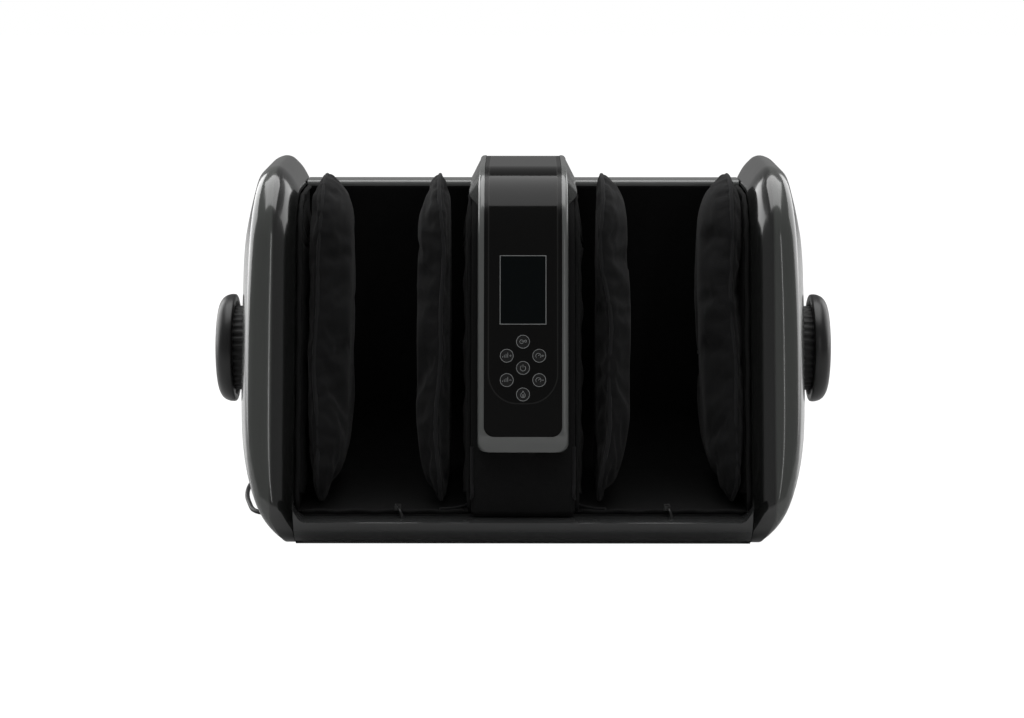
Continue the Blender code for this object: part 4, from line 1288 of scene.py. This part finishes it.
def ribbon_form(stroke, place, width, low, high):
    """A flat raised line through the stroke's points."""
    points = [Vector(point) * key_radius for point in stroke]
    rings = []
    for index, point in enumerate(points):
        after = points[min(index + 1, len(points) - 1)]
        along = (after - points[max(index - 1, 0)]).normalized()
        out = Vector((-along.y, along.x)) * width / 2
        corners = ((point - out, low), (point + out, low), (point + out, high),
                   (point - out, high))
        rings.append([place @ Vector((*spot, height)) for spot, height in corners])
    return loft_form(rings)


# %% Keys
key_edge = 0.0004
flange_top = -fascia_recess - fascia_thick - seat_gap
ring_width = 0.00045
stroke_width = 0.00042
front = -fascia_recess
cap_shares = ((0.0, 0.00020), (0.55, 0.00012), (0.90, 0.0))

for name, (x, height) in key_places.items():
    place = face_frame(x, height)
    profile = [(key_radius * share, front - drop) for share, drop in cap_shares]
    profile += [
        (key_radius - key_edge, front),
        (key_radius - key_edge * 0.3, front - key_edge * 0.3),
        (key_radius, front - key_edge),
        (key_radius, flange_top),
        (key_radius + key_flange, flange_top),
        (key_radius + key_flange, flange_top - key_flange),
        (0.0, flange_top - key_flange),
    ]
    cap = add_piece(name + "_cap", lathe_form(profile, place, 64), key_black, 40)
    settle(cap, name, "key_cap", name)
    outer = key_radius - key_edge
    inner = outer - ring_width
    low = front - key_edge / 2
    high = front + print_rise
    band = ((inner, high), (outer, high), (outer, low), (inner, low), (inner, high))
    prints = [lathe_form(band, place, 64)]
    prints += [ribbon_form(stroke, place, stroke_width, front - key_edge, high)
               for stroke in key_signs[name]]
    sign = add_piece(name + "_sign", joined(*prints), print_grey, 30)
    settle(sign, name, "key_cap")
print("keys", len(key_places))

# %% [markdown]
# ## The lining
# Each well is a plastic pan under tight fabric. The skin follows the same side
# outline as the pan: floor, round back and two walls, with slots for the arms
# that carry the pads. It is one closed mesh, because the cloth is bonded to it.

# %% Well lining
liner_low, liner_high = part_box("right_well_liner")
liner_wall = 0.0025
well_inset = 0.026
well_floor_z = liner_low.z
well_front_y = liner_low.y
well_back_y = 0.052
well_back_top_y = 0.0095
well_back_radius = 0.045
well_toe_radius = 0.002
shaft_y = 0.105
shaft_z = 0.165
slot_half_width = 0.0105
slot_half_height = 0.022
arm_lines = [sum(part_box("right_%s_wing" % which)[end].x for end in (0, 1)) / 2
             for which in ("inner", "outer")]
well_corners = (
    (well_front_y, well_floor_z, well_toe_radius),
    (well_back_y, well_floor_z, well_back_radius),
    (well_back_top_y, liner_high.z, 0.0),
    (inset_corners(body_corners, well_inset)[BROW].x, liner_high.z, brow_radius - well_inset),
)


def well_lining(side, hand):
    low_x = min(side * liner_low.x, side * liner_high.x)
    high_x = max(side * liner_low.x, side * liner_high.x)
    skin = add_piece(hand + "_lining",
                     extruded_form(outline(well_corners, 0.0, 24), low_x, high_x),
                     lining_black_painted_shade, 35)
    floor_front, _, wall_top, _ = inset_corners(well_corners, liner_wall)
    back = [point for point in outline(well_corners, liner_wall, 24)
            if point.x > 0 and point.y < wall_top.y - liner_wall]
    far_front = floor_front.x - well_inset
    room = [Vector((far_front, floor_front.y))] + back
    room += [wall_top, Vector((wall_top.x, wall_top.y + well_inset)),
             Vector((far_front, wall_top.y + well_inset))]
    cut_away(skin, extruded_form(room, low_x + liner_wall, high_x - liner_wall))
    for x in arm_lines:
        cut_away(skin, box_form(
            (side * x - slot_half_width, 0.0, shaft_z - slot_half_height),
            (side * x + slot_half_width, shaft_y, shaft_z + slot_half_height)))
    return settle(skin, "housing", "liner_fabric", hand + "_well_liner")


for hand, side in (("left", -1), ("right", 1)):
    well_lining(side, hand)

# %% [markdown]
# ## The wall between the wells
# The hump under the console is a padded wall in the same cloth. Its edges are
# rounder than the solid's, and a low swell shows the foam under the fabric.

# %% Divider
divider_half_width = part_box("divider_cover")[1].x
divider_front = console_depth + seat_gap
divider_edge = 0.0045
divider_swell = 0.0035
divider_toe_radius = 0.004
divider_corners = (
    (front_y(well_floor_z, divider_front), well_floor_z, divider_toe_radius),
    (well_back_y, well_floor_z, well_back_radius),
    (well_back_top_y, top_height - divider_front, 0.0),
    (inset_corners(body_corners, divider_front)[BROW].x, top_height - divider_front,
     brow_radius - divider_front),
)


def divider_ring(x, inset):
    ring = []
    for point in outline(divider_corners, inset, 20, 0.003, edge_between):
        rise = (point.y - well_floor_z) / (console_bottom_z - well_floor_z)
        if point.x < 0 and 0 < rise < 1:
            across = math.cos(math.pi / 2 * x / divider_half_width)
            point.x -= divider_swell * across * math.sin(math.pi * rise)
        ring.append(Vector((x, point.x, point.y)))
    return ring


def divider_form():
    turned = [(divider_half_width - divider_edge * (1 - math.cos(angle)),
               divider_edge * (1 - math.sin(angle))) for angle in quarter_turn(6)]
    rings = [divider_ring(-x, inset) for x, inset in turned]
    rings += [divider_ring(divider_half_width * share / 8, 0.0) for share in range(-6, 7)]
    rings += [divider_ring(x, inset) for x, inset in reversed(turned)]
    return loft_form(rings)


divider = add_piece("divider_padding", divider_form(), divider_black, 50)
settle(divider, "housing", "liner_fabric", "divider_cover")
print("divider made")

# %% [markdown]
# ## Kneading pads
# A pad is a long lens of foam in a sewn cover: a crowned face towards the leg, a
# flatter back, and a piped seam where they meet, pulled a little crooked by the
# thread. A loft gives the lens, slightly too small. Remeshing turns it into even
# cloth, and a short cloth simulation with air pressure swells it, while the seam
# is held still. The limit on how far a point may move keeps every pad in its room.

# %% The pads' sizes
pad_low, pad_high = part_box("right_outer_pad")
pad_bottom_z = pad_low.z
pad_top_z = pad_high.z
pad_front_inset = 0.022
pad_corners = (
    (front_y(pad_bottom_z, pad_front_inset), pad_bottom_z, 0.034),
    (0.010, pad_bottom_z, 0.040),
    (-0.012, pad_top_z, 0.022),
    (front_y(pad_top_z, pad_front_inset), pad_top_z, 0.060),
)
pillow_shares = (
    (0.000, 0.00), (0.025, 0.22), (0.065, 0.42), (0.140, 0.64), (0.260, 0.84),
    (0.410, 0.95), (0.560, 1.00),
)
pillow_depth = 0.072
seam_thick = 0.0026
seam_share = 0.24
leg_room = 0.0042
face_room = 0.0010
back_room = 0.0010
voxel = 0.0042
swell_cap = 0.0050
thick_shares = (
    (0.00, 0.10), (0.03, 0.30), (0.06, 0.46), (0.14, 0.68), (0.26, 0.85), (0.47, 0.95),
    (0.63, 0.99), (0.76, 1.00), (0.85, 0.96), (0.92, 0.87), (0.97, 0.70), (1.00, 0.46),
)
pad_pressure = 4.0
swell_frames = 20
held_reach = 0.005
eased_reach = 0.008
crease_length = 0.021
crease_depth = 0.0011
crease_reach = 0.013
seam_bare = 0.003
dent_scale = 24
seam_inset = 0.0015
piping_inset = 0.0018
piping_radius = 0.0019
wave_turns = 24
ripple_turns = 61
ripple_share = 0.45
# Side, place in the well, shift outwards, how far the seam wanders, and its phase.
pads = (
    ("left", "outer", 0.000, 0.0022, 0.6),
    ("left", "inner", 0.000, 0.0026, 2.1),
    ("right", "inner", 0.000, 0.0044, 3.9),
    ("right", "outer", 0.0045, 0.0024, 5.2),
)


print("pads", len(pads), "height_mm", round((pad_top_z - pad_bottom_z) * 1000))


# %% The pads' outline and rings
def pad_outline(inset):
    return outline(pad_corners, inset, 12, 0.010, 12)


def lens_share(height):
    """How thick the pad is at a height: a leaf that is fuller above its middle."""
    rise = min(1.0, max(0.0, (height - pad_bottom_z) / (pad_top_z - pad_bottom_z)))
    for (low, thin), (high, thick) in zip(thick_shares, thick_shares[1:]):
        if rise <= high:
            return thin + (thick - thin) * (rise - low) / (high - low)
    return thick_shares[-1][1]


def seam_wave(height, amount, phase):
    return amount * (math.sin(height * wave_turns + phase)
                     + ripple_share * math.sin(height * ripple_turns + phase * 2))


def seam_line(seam_x, inset, amount, phase):
    return [Vector((seam_x + seam_wave(point.y, amount, phase), point.x, point.y))
            for point in pad_outline(inset)]


def cushion_rings(seam_x, toward, crowned, flat, amount, phase):
    rings = []
    for direction, depth, rows in ((-toward, flat, pillow_shares[::-1]),
                                   (toward, crowned, pillow_shares)):
        for inset_share, out_share in rows:
            ring = []
            for point in pad_outline(inset_share * pillow_depth):
                out = seam_thick + (depth - seam_thick) * out_share * lens_share(point.y)
                wave = seam_wave(point.y, amount, phase) * (1 - inset_share)
                ring.append(Vector((seam_x + wave + direction * out, point.x, point.y)))
            rings.append(ring)
    return rings


print("pad outline points", len(pad_outline(0.0)))


# %% Swelling and puckers
def swollen(thing, held, cap):
    """Blows the cover up with the seam held, and lets no point move past the cap."""
    before = [vertex.co.copy() for vertex in thing.data.vertices]
    group = thing.vertex_groups.new(name="seam")
    for index, weight in held.items():
        group.add([index], weight, "REPLACE")
    cloth = thing.modifiers.new("cloth", "CLOTH")
    settings = cloth.settings
    settings.quality = 5
    settings.mass = 0.25
    settings.tension_stiffness = 12
    settings.compression_stiffness = 12
    settings.bending_stiffness = 0.4
    settings.shrink_min = -0.05
    settings.use_pressure = True
    settings.uniform_pressure_force = pad_pressure
    settings.vertex_group_mass = "seam"
    settings.effector_weights.gravity = 0.0
    cloth.collision_settings.use_collision = False
    for step in range(1, swell_frames + 1):
        scene.frame_set(step)
    bake_modifiers(thing)
    scene.frame_set(1)
    moved = 0.0
    for vertex, start in zip(thing.data.vertices, before):
        move = vertex.co - start
        moved = max(moved, move.length)
        if move.length > cap:
            vertex.co = start + move.normalized() * cap
    print(thing.name, "vertices", len(before), "swelled_mm", round(moved * 1000, 1))


def pucker(thing, seam, nearest_of, depth, phase):
    """Short creases that run out from the seam, and slow dents over the faces."""
    lengths = lengths_along(seam)
    normals = [vertex.normal.copy() for vertex in thing.data.vertices]
    for vertex, normal in zip(thing.data.vertices, normals):
        _, nearest, away = nearest_of.find(vertex.co)
        wander = noise.noise(Vector((lengths[nearest] * 30, phase, 0.0)))
        crease = math.sin(lengths[nearest] * 2 * math.pi / crease_length + wander * 5)
        fade = math.exp(-(away / crease_reach) ** 2)
        fade *= 1 - math.exp(-(away / seam_bare) ** 2)
        dent = noise.noise(vertex.co * dent_scale + Vector((phase, 0.0, 0.0)))
        vertex.co += normal * (depth * crease * fade + depth * 0.8 * dent)


def kept_between(value, low, high, soft=0.002):
    """Eases a value to a stop at either limit."""
    if value > high - soft:
        return high - soft * math.exp((high - soft - value) / soft)
    if value < low + soft:
        return low + soft * math.exp((value - low - soft) / soft)
    return value


print("swelling ready")


# %% One pad from start to end
def make_pad(hand, which, shift, amount, phase):
    side = -1 if hand == "left" else 1
    key = hand + "_" + which
    toward = side if which == "inner" else -side
    low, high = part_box(key + "_pad")
    thick = high.x - low.x
    back_x = (low.x if toward > 0 else high.x) + side * shift
    seam_x = back_x + toward * thick * seam_share
    crowned = thick * (1 - seam_share) - leg_room
    flat = thick * seam_share - back_room
    rings = cushion_rings(seam_x, toward, crowned, flat, amount, phase)
    cushion = add_piece(key + "_cushion", loft_form(rings), pad_black, 180)
    seam = seam_line(seam_x, seam_inset, amount, phase)
    nearest_of = kdtree.KDTree(len(seam))
    for index, point in enumerate(seam):
        nearest_of.insert(point, index)
    nearest_of.balance()
    even = cushion.modifiers.new("even", "REMESH")
    even.mode = "VOXEL"
    even.voxel_size = voxel
    bake_modifiers(cushion)
    held = {}
    for vertex in cushion.data.vertices:
        away = nearest_of.find(vertex.co)[2]
        if away < eased_reach:
            held[vertex.index] = 1.0 if away < held_reach else 0.6
    swollen(cushion, held, swell_cap)
    pucker(cushion, seam, nearest_of, crease_depth, phase)
    limits = sorted((back_x - toward * back_room, back_x + toward * (thick + face_room)))
    for vertex in cushion.data.vertices:
        vertex.co.x = kept_between(vertex.co.x, *limits)
    smoother = cushion.modifiers.new("eased", "SMOOTH")
    smoother.factor = 0.5
    smoother.iterations = 2
    finer = cushion.modifiers.new("finer", "SUBSURF")
    finer.levels = 1
    finer.render_levels = 1
    bake_modifiers(cushion)
    cushion.data.materials.clear()
    cushion.data.materials.append(pad_black)
    cushion.data.shade_smooth()
    settle(cushion, key + "_kneader", "pad_fabric", key + "_pad")
    line = seam_line(seam_x, piping_inset, amount, phase)
    piping = add_piece(key + "_piping", tube_form(line, piping_radius, 8, True),
                       piping_black_painted_highlight, 180)
    settle(piping, key + "_kneader", "pad_fabric")
    return cushion


print("pad maker ready")

# %% All four pads
for pad in pads:
    cushion = make_pad(*pad)
    spots = [vertex.co for vertex in cushion.data.vertices]
    print(cushion.name, "x_mm", [round(pick(p.x for p in spots) * 1000, 1)
                                 for pick in (min, max)],
          "z_mm", [round(pick(p.z for p in spots) * 1000, 1) for pick in (min, max)])

# %% [markdown]
# ## Hems and ruffles
# The lining's front edges end in a piped hem, and a loose ruffle hangs between
# each wall and its pad. A ruffle is a strip that is longer than the edge it is
# sewn to, so it waves. Waves that grow away from the sewn edge say that at once.

# %% Hems
def edge_line(x, inset, start_z, end_y):
    """Up the sloping front and over the brow, at one distance inside the outline."""
    corners = inset_corners(body_corners, inset)
    brow = corner_arc(corners[CROWN], corners[BROW], corners[TOE], brow_radius - inset, 24)
    brow.reverse()
    start = Vector((front_y(start_z, inset), start_z))
    points = [start.lerp(brow[0], step / 30) for step in range(30)] + brow
    last = brow[-1]
    points += [last.lerp(Vector((end_y, last.y)), step / 6) for step in range(1, 7)]
    return [Vector((x, point.x, point.y)) for point in points]


hem_radius = 0.0021
hem_top_y = 0.004
hem_wander = 0.0004
for hand, side in (("left", -1), ("right", 1)):
    for which, x in (("outer", liner_high.x - hem_radius),
                     ("inner", liner_low.x + hem_radius * 0.6)):
        line = edge_line(side * x, well_inset + hem_radius * 0.3, well_floor_z + 0.006,
                         hem_top_y)
        for index, point in enumerate(line):
            point.x += side * hem_wander * math.sin(index * 0.9)
        hem = add_piece("%s_%s_hem" % (hand, which), tube_form(line, hem_radius),
                        ruffle_black, 180)
        settle(hem, "housing", "liner_fabric")
    width = liner_high.x - liner_low.x
    line = [Vector((side * (liner_low.x + width * step / 24), well_front_y + 0.0022,
                    well_floor_z + liner_wall + 0.0006 * math.sin(step * 1.3)))
            for step in range(1, 24)]
    hem = add_piece(hand + "_floor_hem", tube_form(line, hem_radius * 0.9), ruffle_black, 180)
    settle(hem, "housing", "liner_fabric")
print("hems made")

# %% Ruffles
ruffle_thick = 0.0008
ruffle_width = 0.026
ruffle_start = 0.008
ruffle_spread = 0.0036
ruffle_ripple = 0.0022
ruffle_lanes = 9


def ruffle_rows(wall_x, toward, phase):
    """Rows of points, from the sewn edge at the wall inwards into the well."""
    edge = smooth_line(edge_line(wall_x, well_inset + ruffle_start, pad_bottom_z + 0.014,
                                 -0.030), 3)
    rows = []
    for lane in range(ruffle_lanes):
        share = lane / (ruffle_lanes - 1)
        row = []
        for index, point in enumerate(edge):
            before = edge[max(index - 1, 0)]
            along = (edge[min(index + 1, len(edge) - 1)] - before).normalized()
            inward = Vector((0.0, along.z, -along.y))
            place = index / (len(edge) - 1)
            wave = math.sin(place * 46 + phase) * 0.6 + math.sin(place * 97 + phase * 3) * 0.4
            out = ruffle_spread * share * (1 + 0.4 * wave)
            row.append(point + inward * (ruffle_width * share + ruffle_ripple * share * wave)
                       + Vector((toward * out, 0.0, 0.0)))
        rows.append(row)
    return rows


for hand, side in (("left", -1), ("right", 1)):
    for which, wall_x, toward, phase in (
            ("outer", liner_high.x - liner_wall - ruffle_thick, -side, 0.4),
            ("inner", liner_low.x + liner_wall + ruffle_thick, side, 2.2)):
        ruffle = add_piece("%s_%s_ruffle" % (hand, which),
                           sheet_form(ruffle_rows(side * wall_x, toward, phase + side)),
                           ruffle_black, 180)
        wall = ruffle.modifiers.new("cloth", "SOLIDIFY")
        wall.thickness = ruffle_thick
        wall.offset = 0.0
        bake_modifiers(ruffle)
        settle(ruffle, "housing", "liner_fabric")

# %% [markdown]
# ## Zip pulls and hump seams
# A zip seems to end at the front of each well, perhaps so that the lining can
# come out for washing, and its pull hangs by the lip. Only the pulls are made. A
# seam runs down each front corner of the hump and turns out along the floor.

# %% Zip pulls
slider_half_width = 0.0028
pull_ring_radius = 0.0026
pull_ring_wire = 0.0006
tab_radius = 0.0007
tab_widens = 0.0012


def pull_form(x, hang):
    """A slider, a small ring and a tab that hangs from it."""
    base = Vector((x, well_front_y + 0.004, well_floor_z + liner_wall + 0.0035))
    slider = box_form(base - Vector((slider_half_width, 0.0050, 0.0020)),
                      base + Vector((slider_half_width, 0.0040, 0.0022)))
    angles = [2 * math.pi * step / 20 for step in range(20)]
    ring = [base + Vector((pull_ring_radius * math.cos(angle),
                           -0.0050 + 0.0010 * math.sin(angle),
                           pull_ring_radius * math.sin(angle) + 0.0012)) for angle in angles]
    start = base + Vector((0.0010, -0.0060, 0.0006))
    tab = [start, start + Vector((0.0012, -0.0030, -0.0015)),
           start + Vector((0.0026, -0.0052, -0.0050 + hang * 0.3)),
           start + Vector((0.0034, -0.0056, -0.0085 + hang))]
    return joined(slider, tube_form(ring, pull_ring_wire, 8, True),
                  tube_form(smooth_line(tab, 6),
                            lambda share: tab_radius + tab_widens * share, 8))


for hand, x, hang in (("left", -0.1120, 0.0), ("right", 0.1290, -0.002)):
    pull = add_piece(hand + "_zip_pull", pull_form(x, hang), zip_black, 35)
    settle(pull, "housing", "black_plastic")
print("pulls made")

# %% Hump seams
hump_seam_radius = 0.0015
for side, hand in ((-1, "left"), (1, "right")):
    low_z = well_floor_z + liner_wall
    near = divider_half_width - 0.0008
    knots = [Vector((side * near, front_y(height, divider_front) + 0.0006, height))
             for height in (console_bottom_z, 0.078, 0.062, 0.050)]
    for out, y, rise in ((0.0040, 0.016, 0.0030), (0.0150, 0.010, 0.0012),
                         (0.0280, 0.006, 0.0012)):
        knots.append(Vector((side * (divider_half_width + out), well_front_y + y,
                             low_z + rise)))
    seam = add_piece(hand + "_hump_seam", tube_form(smooth_line(knots, 8), hump_seam_radius),
                     piping_black_painted_highlight, 180)
    settle(seam, "housing", "liner_fabric")
print("seams made")

# %% [markdown]
# ## Plug, sleeve, tie and feet
# The plug is a slim moulding with grip ribs and two round pins. The sleeve has
# ring grooves, so that the lead bends gently. A hook-and-loop tie holds the coil,
# and the feet are soft discs with a groove.

# %% Plug
plug_length = 0.036
plug_half_width = 0.0126
plug_height = plug_high.z - plug_low.z
pin_radius = 0.0020
pin_length = 0.019
pin_spacing = 0.0095
grip_depth = 0.95
grip_start, grip_end = 0.10, 0.42
grip_turns = 150
plug_shares = (
    (0.00, 0.42, 0.55), (0.12, 0.50, 0.62), (0.25, 0.62, 0.75), (0.40, 0.82, 0.88),
    (0.55, 0.95, 0.95), (0.85, 1.00, 1.00), (0.95, 0.99, 0.98), (1.00, 0.94, 0.92),
)


def plug_form():
    rings = []
    for spot in smooth_line([Vector(shares) for shares in plug_shares], 6):
        in_grip = grip_start < spot.x < grip_end and math.sin(spot.x * grip_turns) > 0.2
        groove = grip_depth if in_grip else 1.0
        ring = []
        for step in range(40):
            angle = 2 * math.pi * step / 40
            wide = plug_half_width * spot.y * groove * math.cos(angle)
            high = plug_height / 2 * min(spot.z, 1.0) * groove * math.sin(angle)
            ring.append(plug_back + Vector((plug_length * spot.x, wide, high)))
        rings.append(ring)
    return loft_form(rings)


plug_body = add_piece("plug_moulding", plug_form(), cord_black, 40)
settle(plug_body, "housing", "cord", "plug")
pins = []
for side in (-1, 1):
    start_x = plug_back.x + plug_length
    profile = (
        (0.0, start_x + pin_length),
        (pin_radius * 0.55, start_x + pin_length),
        (pin_radius * 0.90, start_x + pin_length - pin_radius * 0.5),
        (pin_radius, start_x + pin_length - pin_radius * 1.2),
        (pin_radius, start_x - pin_radius),
        (0.0, start_x - pin_radius),
    )
    place = facing(1, 0.0, plug_back.y + side * pin_spacing, plug_back.z)
    pins.append(lathe_form(profile, place, 32))
plug_pins = add_piece("plug_pins", joined(*pins), pin_brass, 40)
settle(plug_pins, "housing", "steel")
print("pins", len(pins))

# %% Sleeve
relief_tip_radius = 0.0034
relief_length = 0.034
relief_groove = 0.0005
relief_shares = ((0.00, 0.00), (0.35, 0.15), (0.85, 0.80), (1.00, 1.00))
sleeve_place = Matrix.Rotation(-math.pi / 2, 4, "X")
sleeve_place.translation = Vector((relief_x, 0.0, relief_z))
profile = [(0.0, relief_high.y)]
for share, width_share in smooth_profile(relief_shares, 10):
    radius = relief_tip_radius + (relief_radius - relief_tip_radius) * width_share
    groove = relief_groove if 0.05 < share < 0.62 and math.sin(share * 58) > 0 else 0.0
    profile.append((radius - groove, relief_high.y - relief_length * share))
profile += [(relief_radius, relief_low.y), (0.0, relief_low.y)]
sleeve = add_piece("lead_sleeve", lathe_form(profile, sleeve_place, 48), rubber_black, 45)
settle(sleeve, "housing", "rubber", "strain_relief")
print("sleeve profile points", len(profile))

# %% Tie
tie_width = 0.009
tie_thick = 0.0009
tie_corner = 0.003
tie_angle = math.radians(200)
tie_in = coil_outer - coil_pitch * (turns_in_layer - 0.25) - cord_diameter / 2
tie_out = coil_outer + cord_diameter / 2
tie_high = cord_diameter + coil_layer
spoke = Vector((math.cos(tie_angle), math.sin(tie_angle), 0.0))
tangent = Vector((-spoke.y, spoke.x, 0.0))


def tie_loop(grow):
    """A rounded box round the bundle, in the plane across it."""
    low = tie_thick - grow
    corners = [(tie_in - grow, low, tie_corner), (tie_out + grow, low, tie_corner),
               (tie_out + grow, tie_high + grow, tie_corner),
               (tie_in - grow, tie_high + grow, tie_corner)]
    return outline(corners, 0.0, 6, 0.001, 6)


tie_rings = []
for across, grow in ((-0.5, 0.0), (-0.5, tie_thick), (0.5, tie_thick), (0.5, 0.0),
                     (-0.5, 0.0)):
    tie_rings.append([Vector((coil_x, coil_y, 0.0)) + spoke * point.x
                      + tangent * tie_width * across + Vector((0.0, 0.0, point.y))
                      for point in tie_loop(grow)])
tie_form = loft_form(tie_rings, cap_first=False, cap_last=False)
bmesh.ops.remove_doubles(tie_form, verts=tie_form.verts, dist=0.00001)
coil_tie = add_piece("coil_tie", tie_form, ruffle_black, 30)
settle(coil_tie, "housing", "cord")
print("tie_mm", round((tie_out - tie_in) * 1000, 1), round(tie_high * 1000, 1))

# %% Feet
foot_shares = ((0.0, 1.00), (0.88, 1.00), (0.97, 0.80), (1.00, 0.55), (0.97, 0.22),
               (0.90, 0.05), (0.80, 0.00), (0.52, 0.00), (0.48, 0.12), (0.40, 0.12),
               (0.36, 0.00), (0.0, 0.00))
for hand in ("left", "right"):
    for end in ("front", "back"):
        node = "%s_%s_foot" % (hand, end)
        low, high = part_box(node)
        middle = (low + high) / 2
        profile = [((high.x - low.x) / 2 * r, high.z * h) for r, h in foot_shares]
        place = Matrix.Translation((middle.x, middle.y, 0.0))
        foot = add_piece(node + "_rubber", lathe_form(profile, place, 64), rubber_black, 40)
        settle(foot, "housing", "rubber", node)
print("feet made")

# %% [markdown]
# ## A floor, a world and lamps
# The white studio is mostly background. The world is white where the camera looks
# and dimmer as a light, so that the pale room does not wash out black fabric. The
# floor glows for the camera until it is pure white, so that it has no horizon,
# but it then shows no shadow either. Large soft lamps stand left and right and a
# little behind, where the shells' outer faces reflect them. A narrow strip lamp
# stands in front on the right, for a thin highlight.

# %% The studio's sizes
floor_size = 9.0
floor_drop = 0.0002
floor_glow = 1.25
glow_share = 0.80
world_light = 0.20
white = (1.0, 1.0, 1.0, 1.0)
print("floor_m", floor_size)

# %% Floor
floor_form = bmesh.new()
bmesh.ops.create_grid(floor_form, x_segments=1, y_segments=1, size=floor_size)
floor_data = bpy.data.meshes.new("floor")
floor_form.to_mesh(floor_data)
floor_form.free()
floor = placed("floor", floor_data)
floor.location.z = -floor_drop
floor_material, tree, shader = blank_material("pale_floor")
shader.inputs["Base Color"].default_value = (0.55, 0.55, 0.55, 1.0)
shader.inputs["Roughness"].default_value = 0.9
seen = Wire.node(tree, "ShaderNodeLightPath", output="Is Camera Ray")
glow = Wire.node(tree, "ShaderNodeEmission", None, {"Color": white, "Strength": floor_glow})
plain = Wire(tree, shader.outputs[0])
both = Wire.node(tree, "ShaderNodeMixShader", None,
                 {0: seen * glow_share, 1: plain, 2: glow})
tree.links.new(both.socket, tree.nodes["Material Output"].inputs["Surface"])
floor_data.materials.append(floor_material)
print("floor ready")

# %% World
world = bpy.data.worlds.new("studio")
scene.world = world
world.use_nodes = True
tree = world.node_tree
tree.nodes.clear()
seen = Wire.node(tree, "ShaderNodeLightPath", output="Is Camera Ray")
bright = Wire.node(tree, "ShaderNodeBackground", None, {"Color": white, "Strength": 1.0})
dim = Wire.node(tree, "ShaderNodeBackground", None, {"Color": white, "Strength": world_light})
both = Wire.node(tree, "ShaderNodeMixShader", None, {0: seen, 1: dim, 2: bright})
out = tree.nodes.new("ShaderNodeOutputWorld")
tree.links.new(both.socket, out.inputs["Surface"])
print("world ready")


# %% Lamps
def soft_lamp(name, place, width, height, power, aim=(0.0, 0.0, 0.16)):
    data = bpy.data.lights.new(name, "AREA")
    data.shape = "RECTANGLE"
    data.size = width
    data.size_y = height
    data.energy = power
    lamp = placed(name, data)
    lamp.location = place
    lamp.rotation_euler = (Vector(aim) - Vector(place)).to_track_quat("-Z", "Y").to_euler()


soft_lamp("top_lamp", (0.0, 0.3, 2.4), 3.2, 2.4, 58)
soft_lamp("left_lamp", (-2.2, 1.3, 0.8), 2.8, 2.0, 44)
soft_lamp("right_lamp", (2.2, 1.3, 0.8), 2.8, 2.0, 30)
soft_lamp("strip_lamp", (0.9, -2.2, 0.9), 0.14, 1.2, 2.0)
scene.view_settings.view_transform = "Standard"
print("lamps", len(bpy.data.lights))

# %% [markdown]
# ## Materials for the solids that stay
# Solids whose shape is already right keep their mesh and only get a finish. Most
# of them are inside: wings, drive, chassis and boards.

# %% Dress the remaining solids
finishes = {
    "chassis": steel, "drive_shaft": steel, "gearbox": cast_metal, "drive_motor": cast_metal,
    "power_supply": board_green, "key_board": board_green, "display_lens": window_dark,
}
for node_name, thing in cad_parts.items():
    finish = finishes.get(node_name, moulded_black)
    if node_name.endswith(("_bush", "_block")):
        finish = nylon_white
    elif node_name.endswith("_collar"):
        finish = steel
    thing.data.materials.clear()
    thing.data.materials.append(finish)
print("finished solids", len(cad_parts))
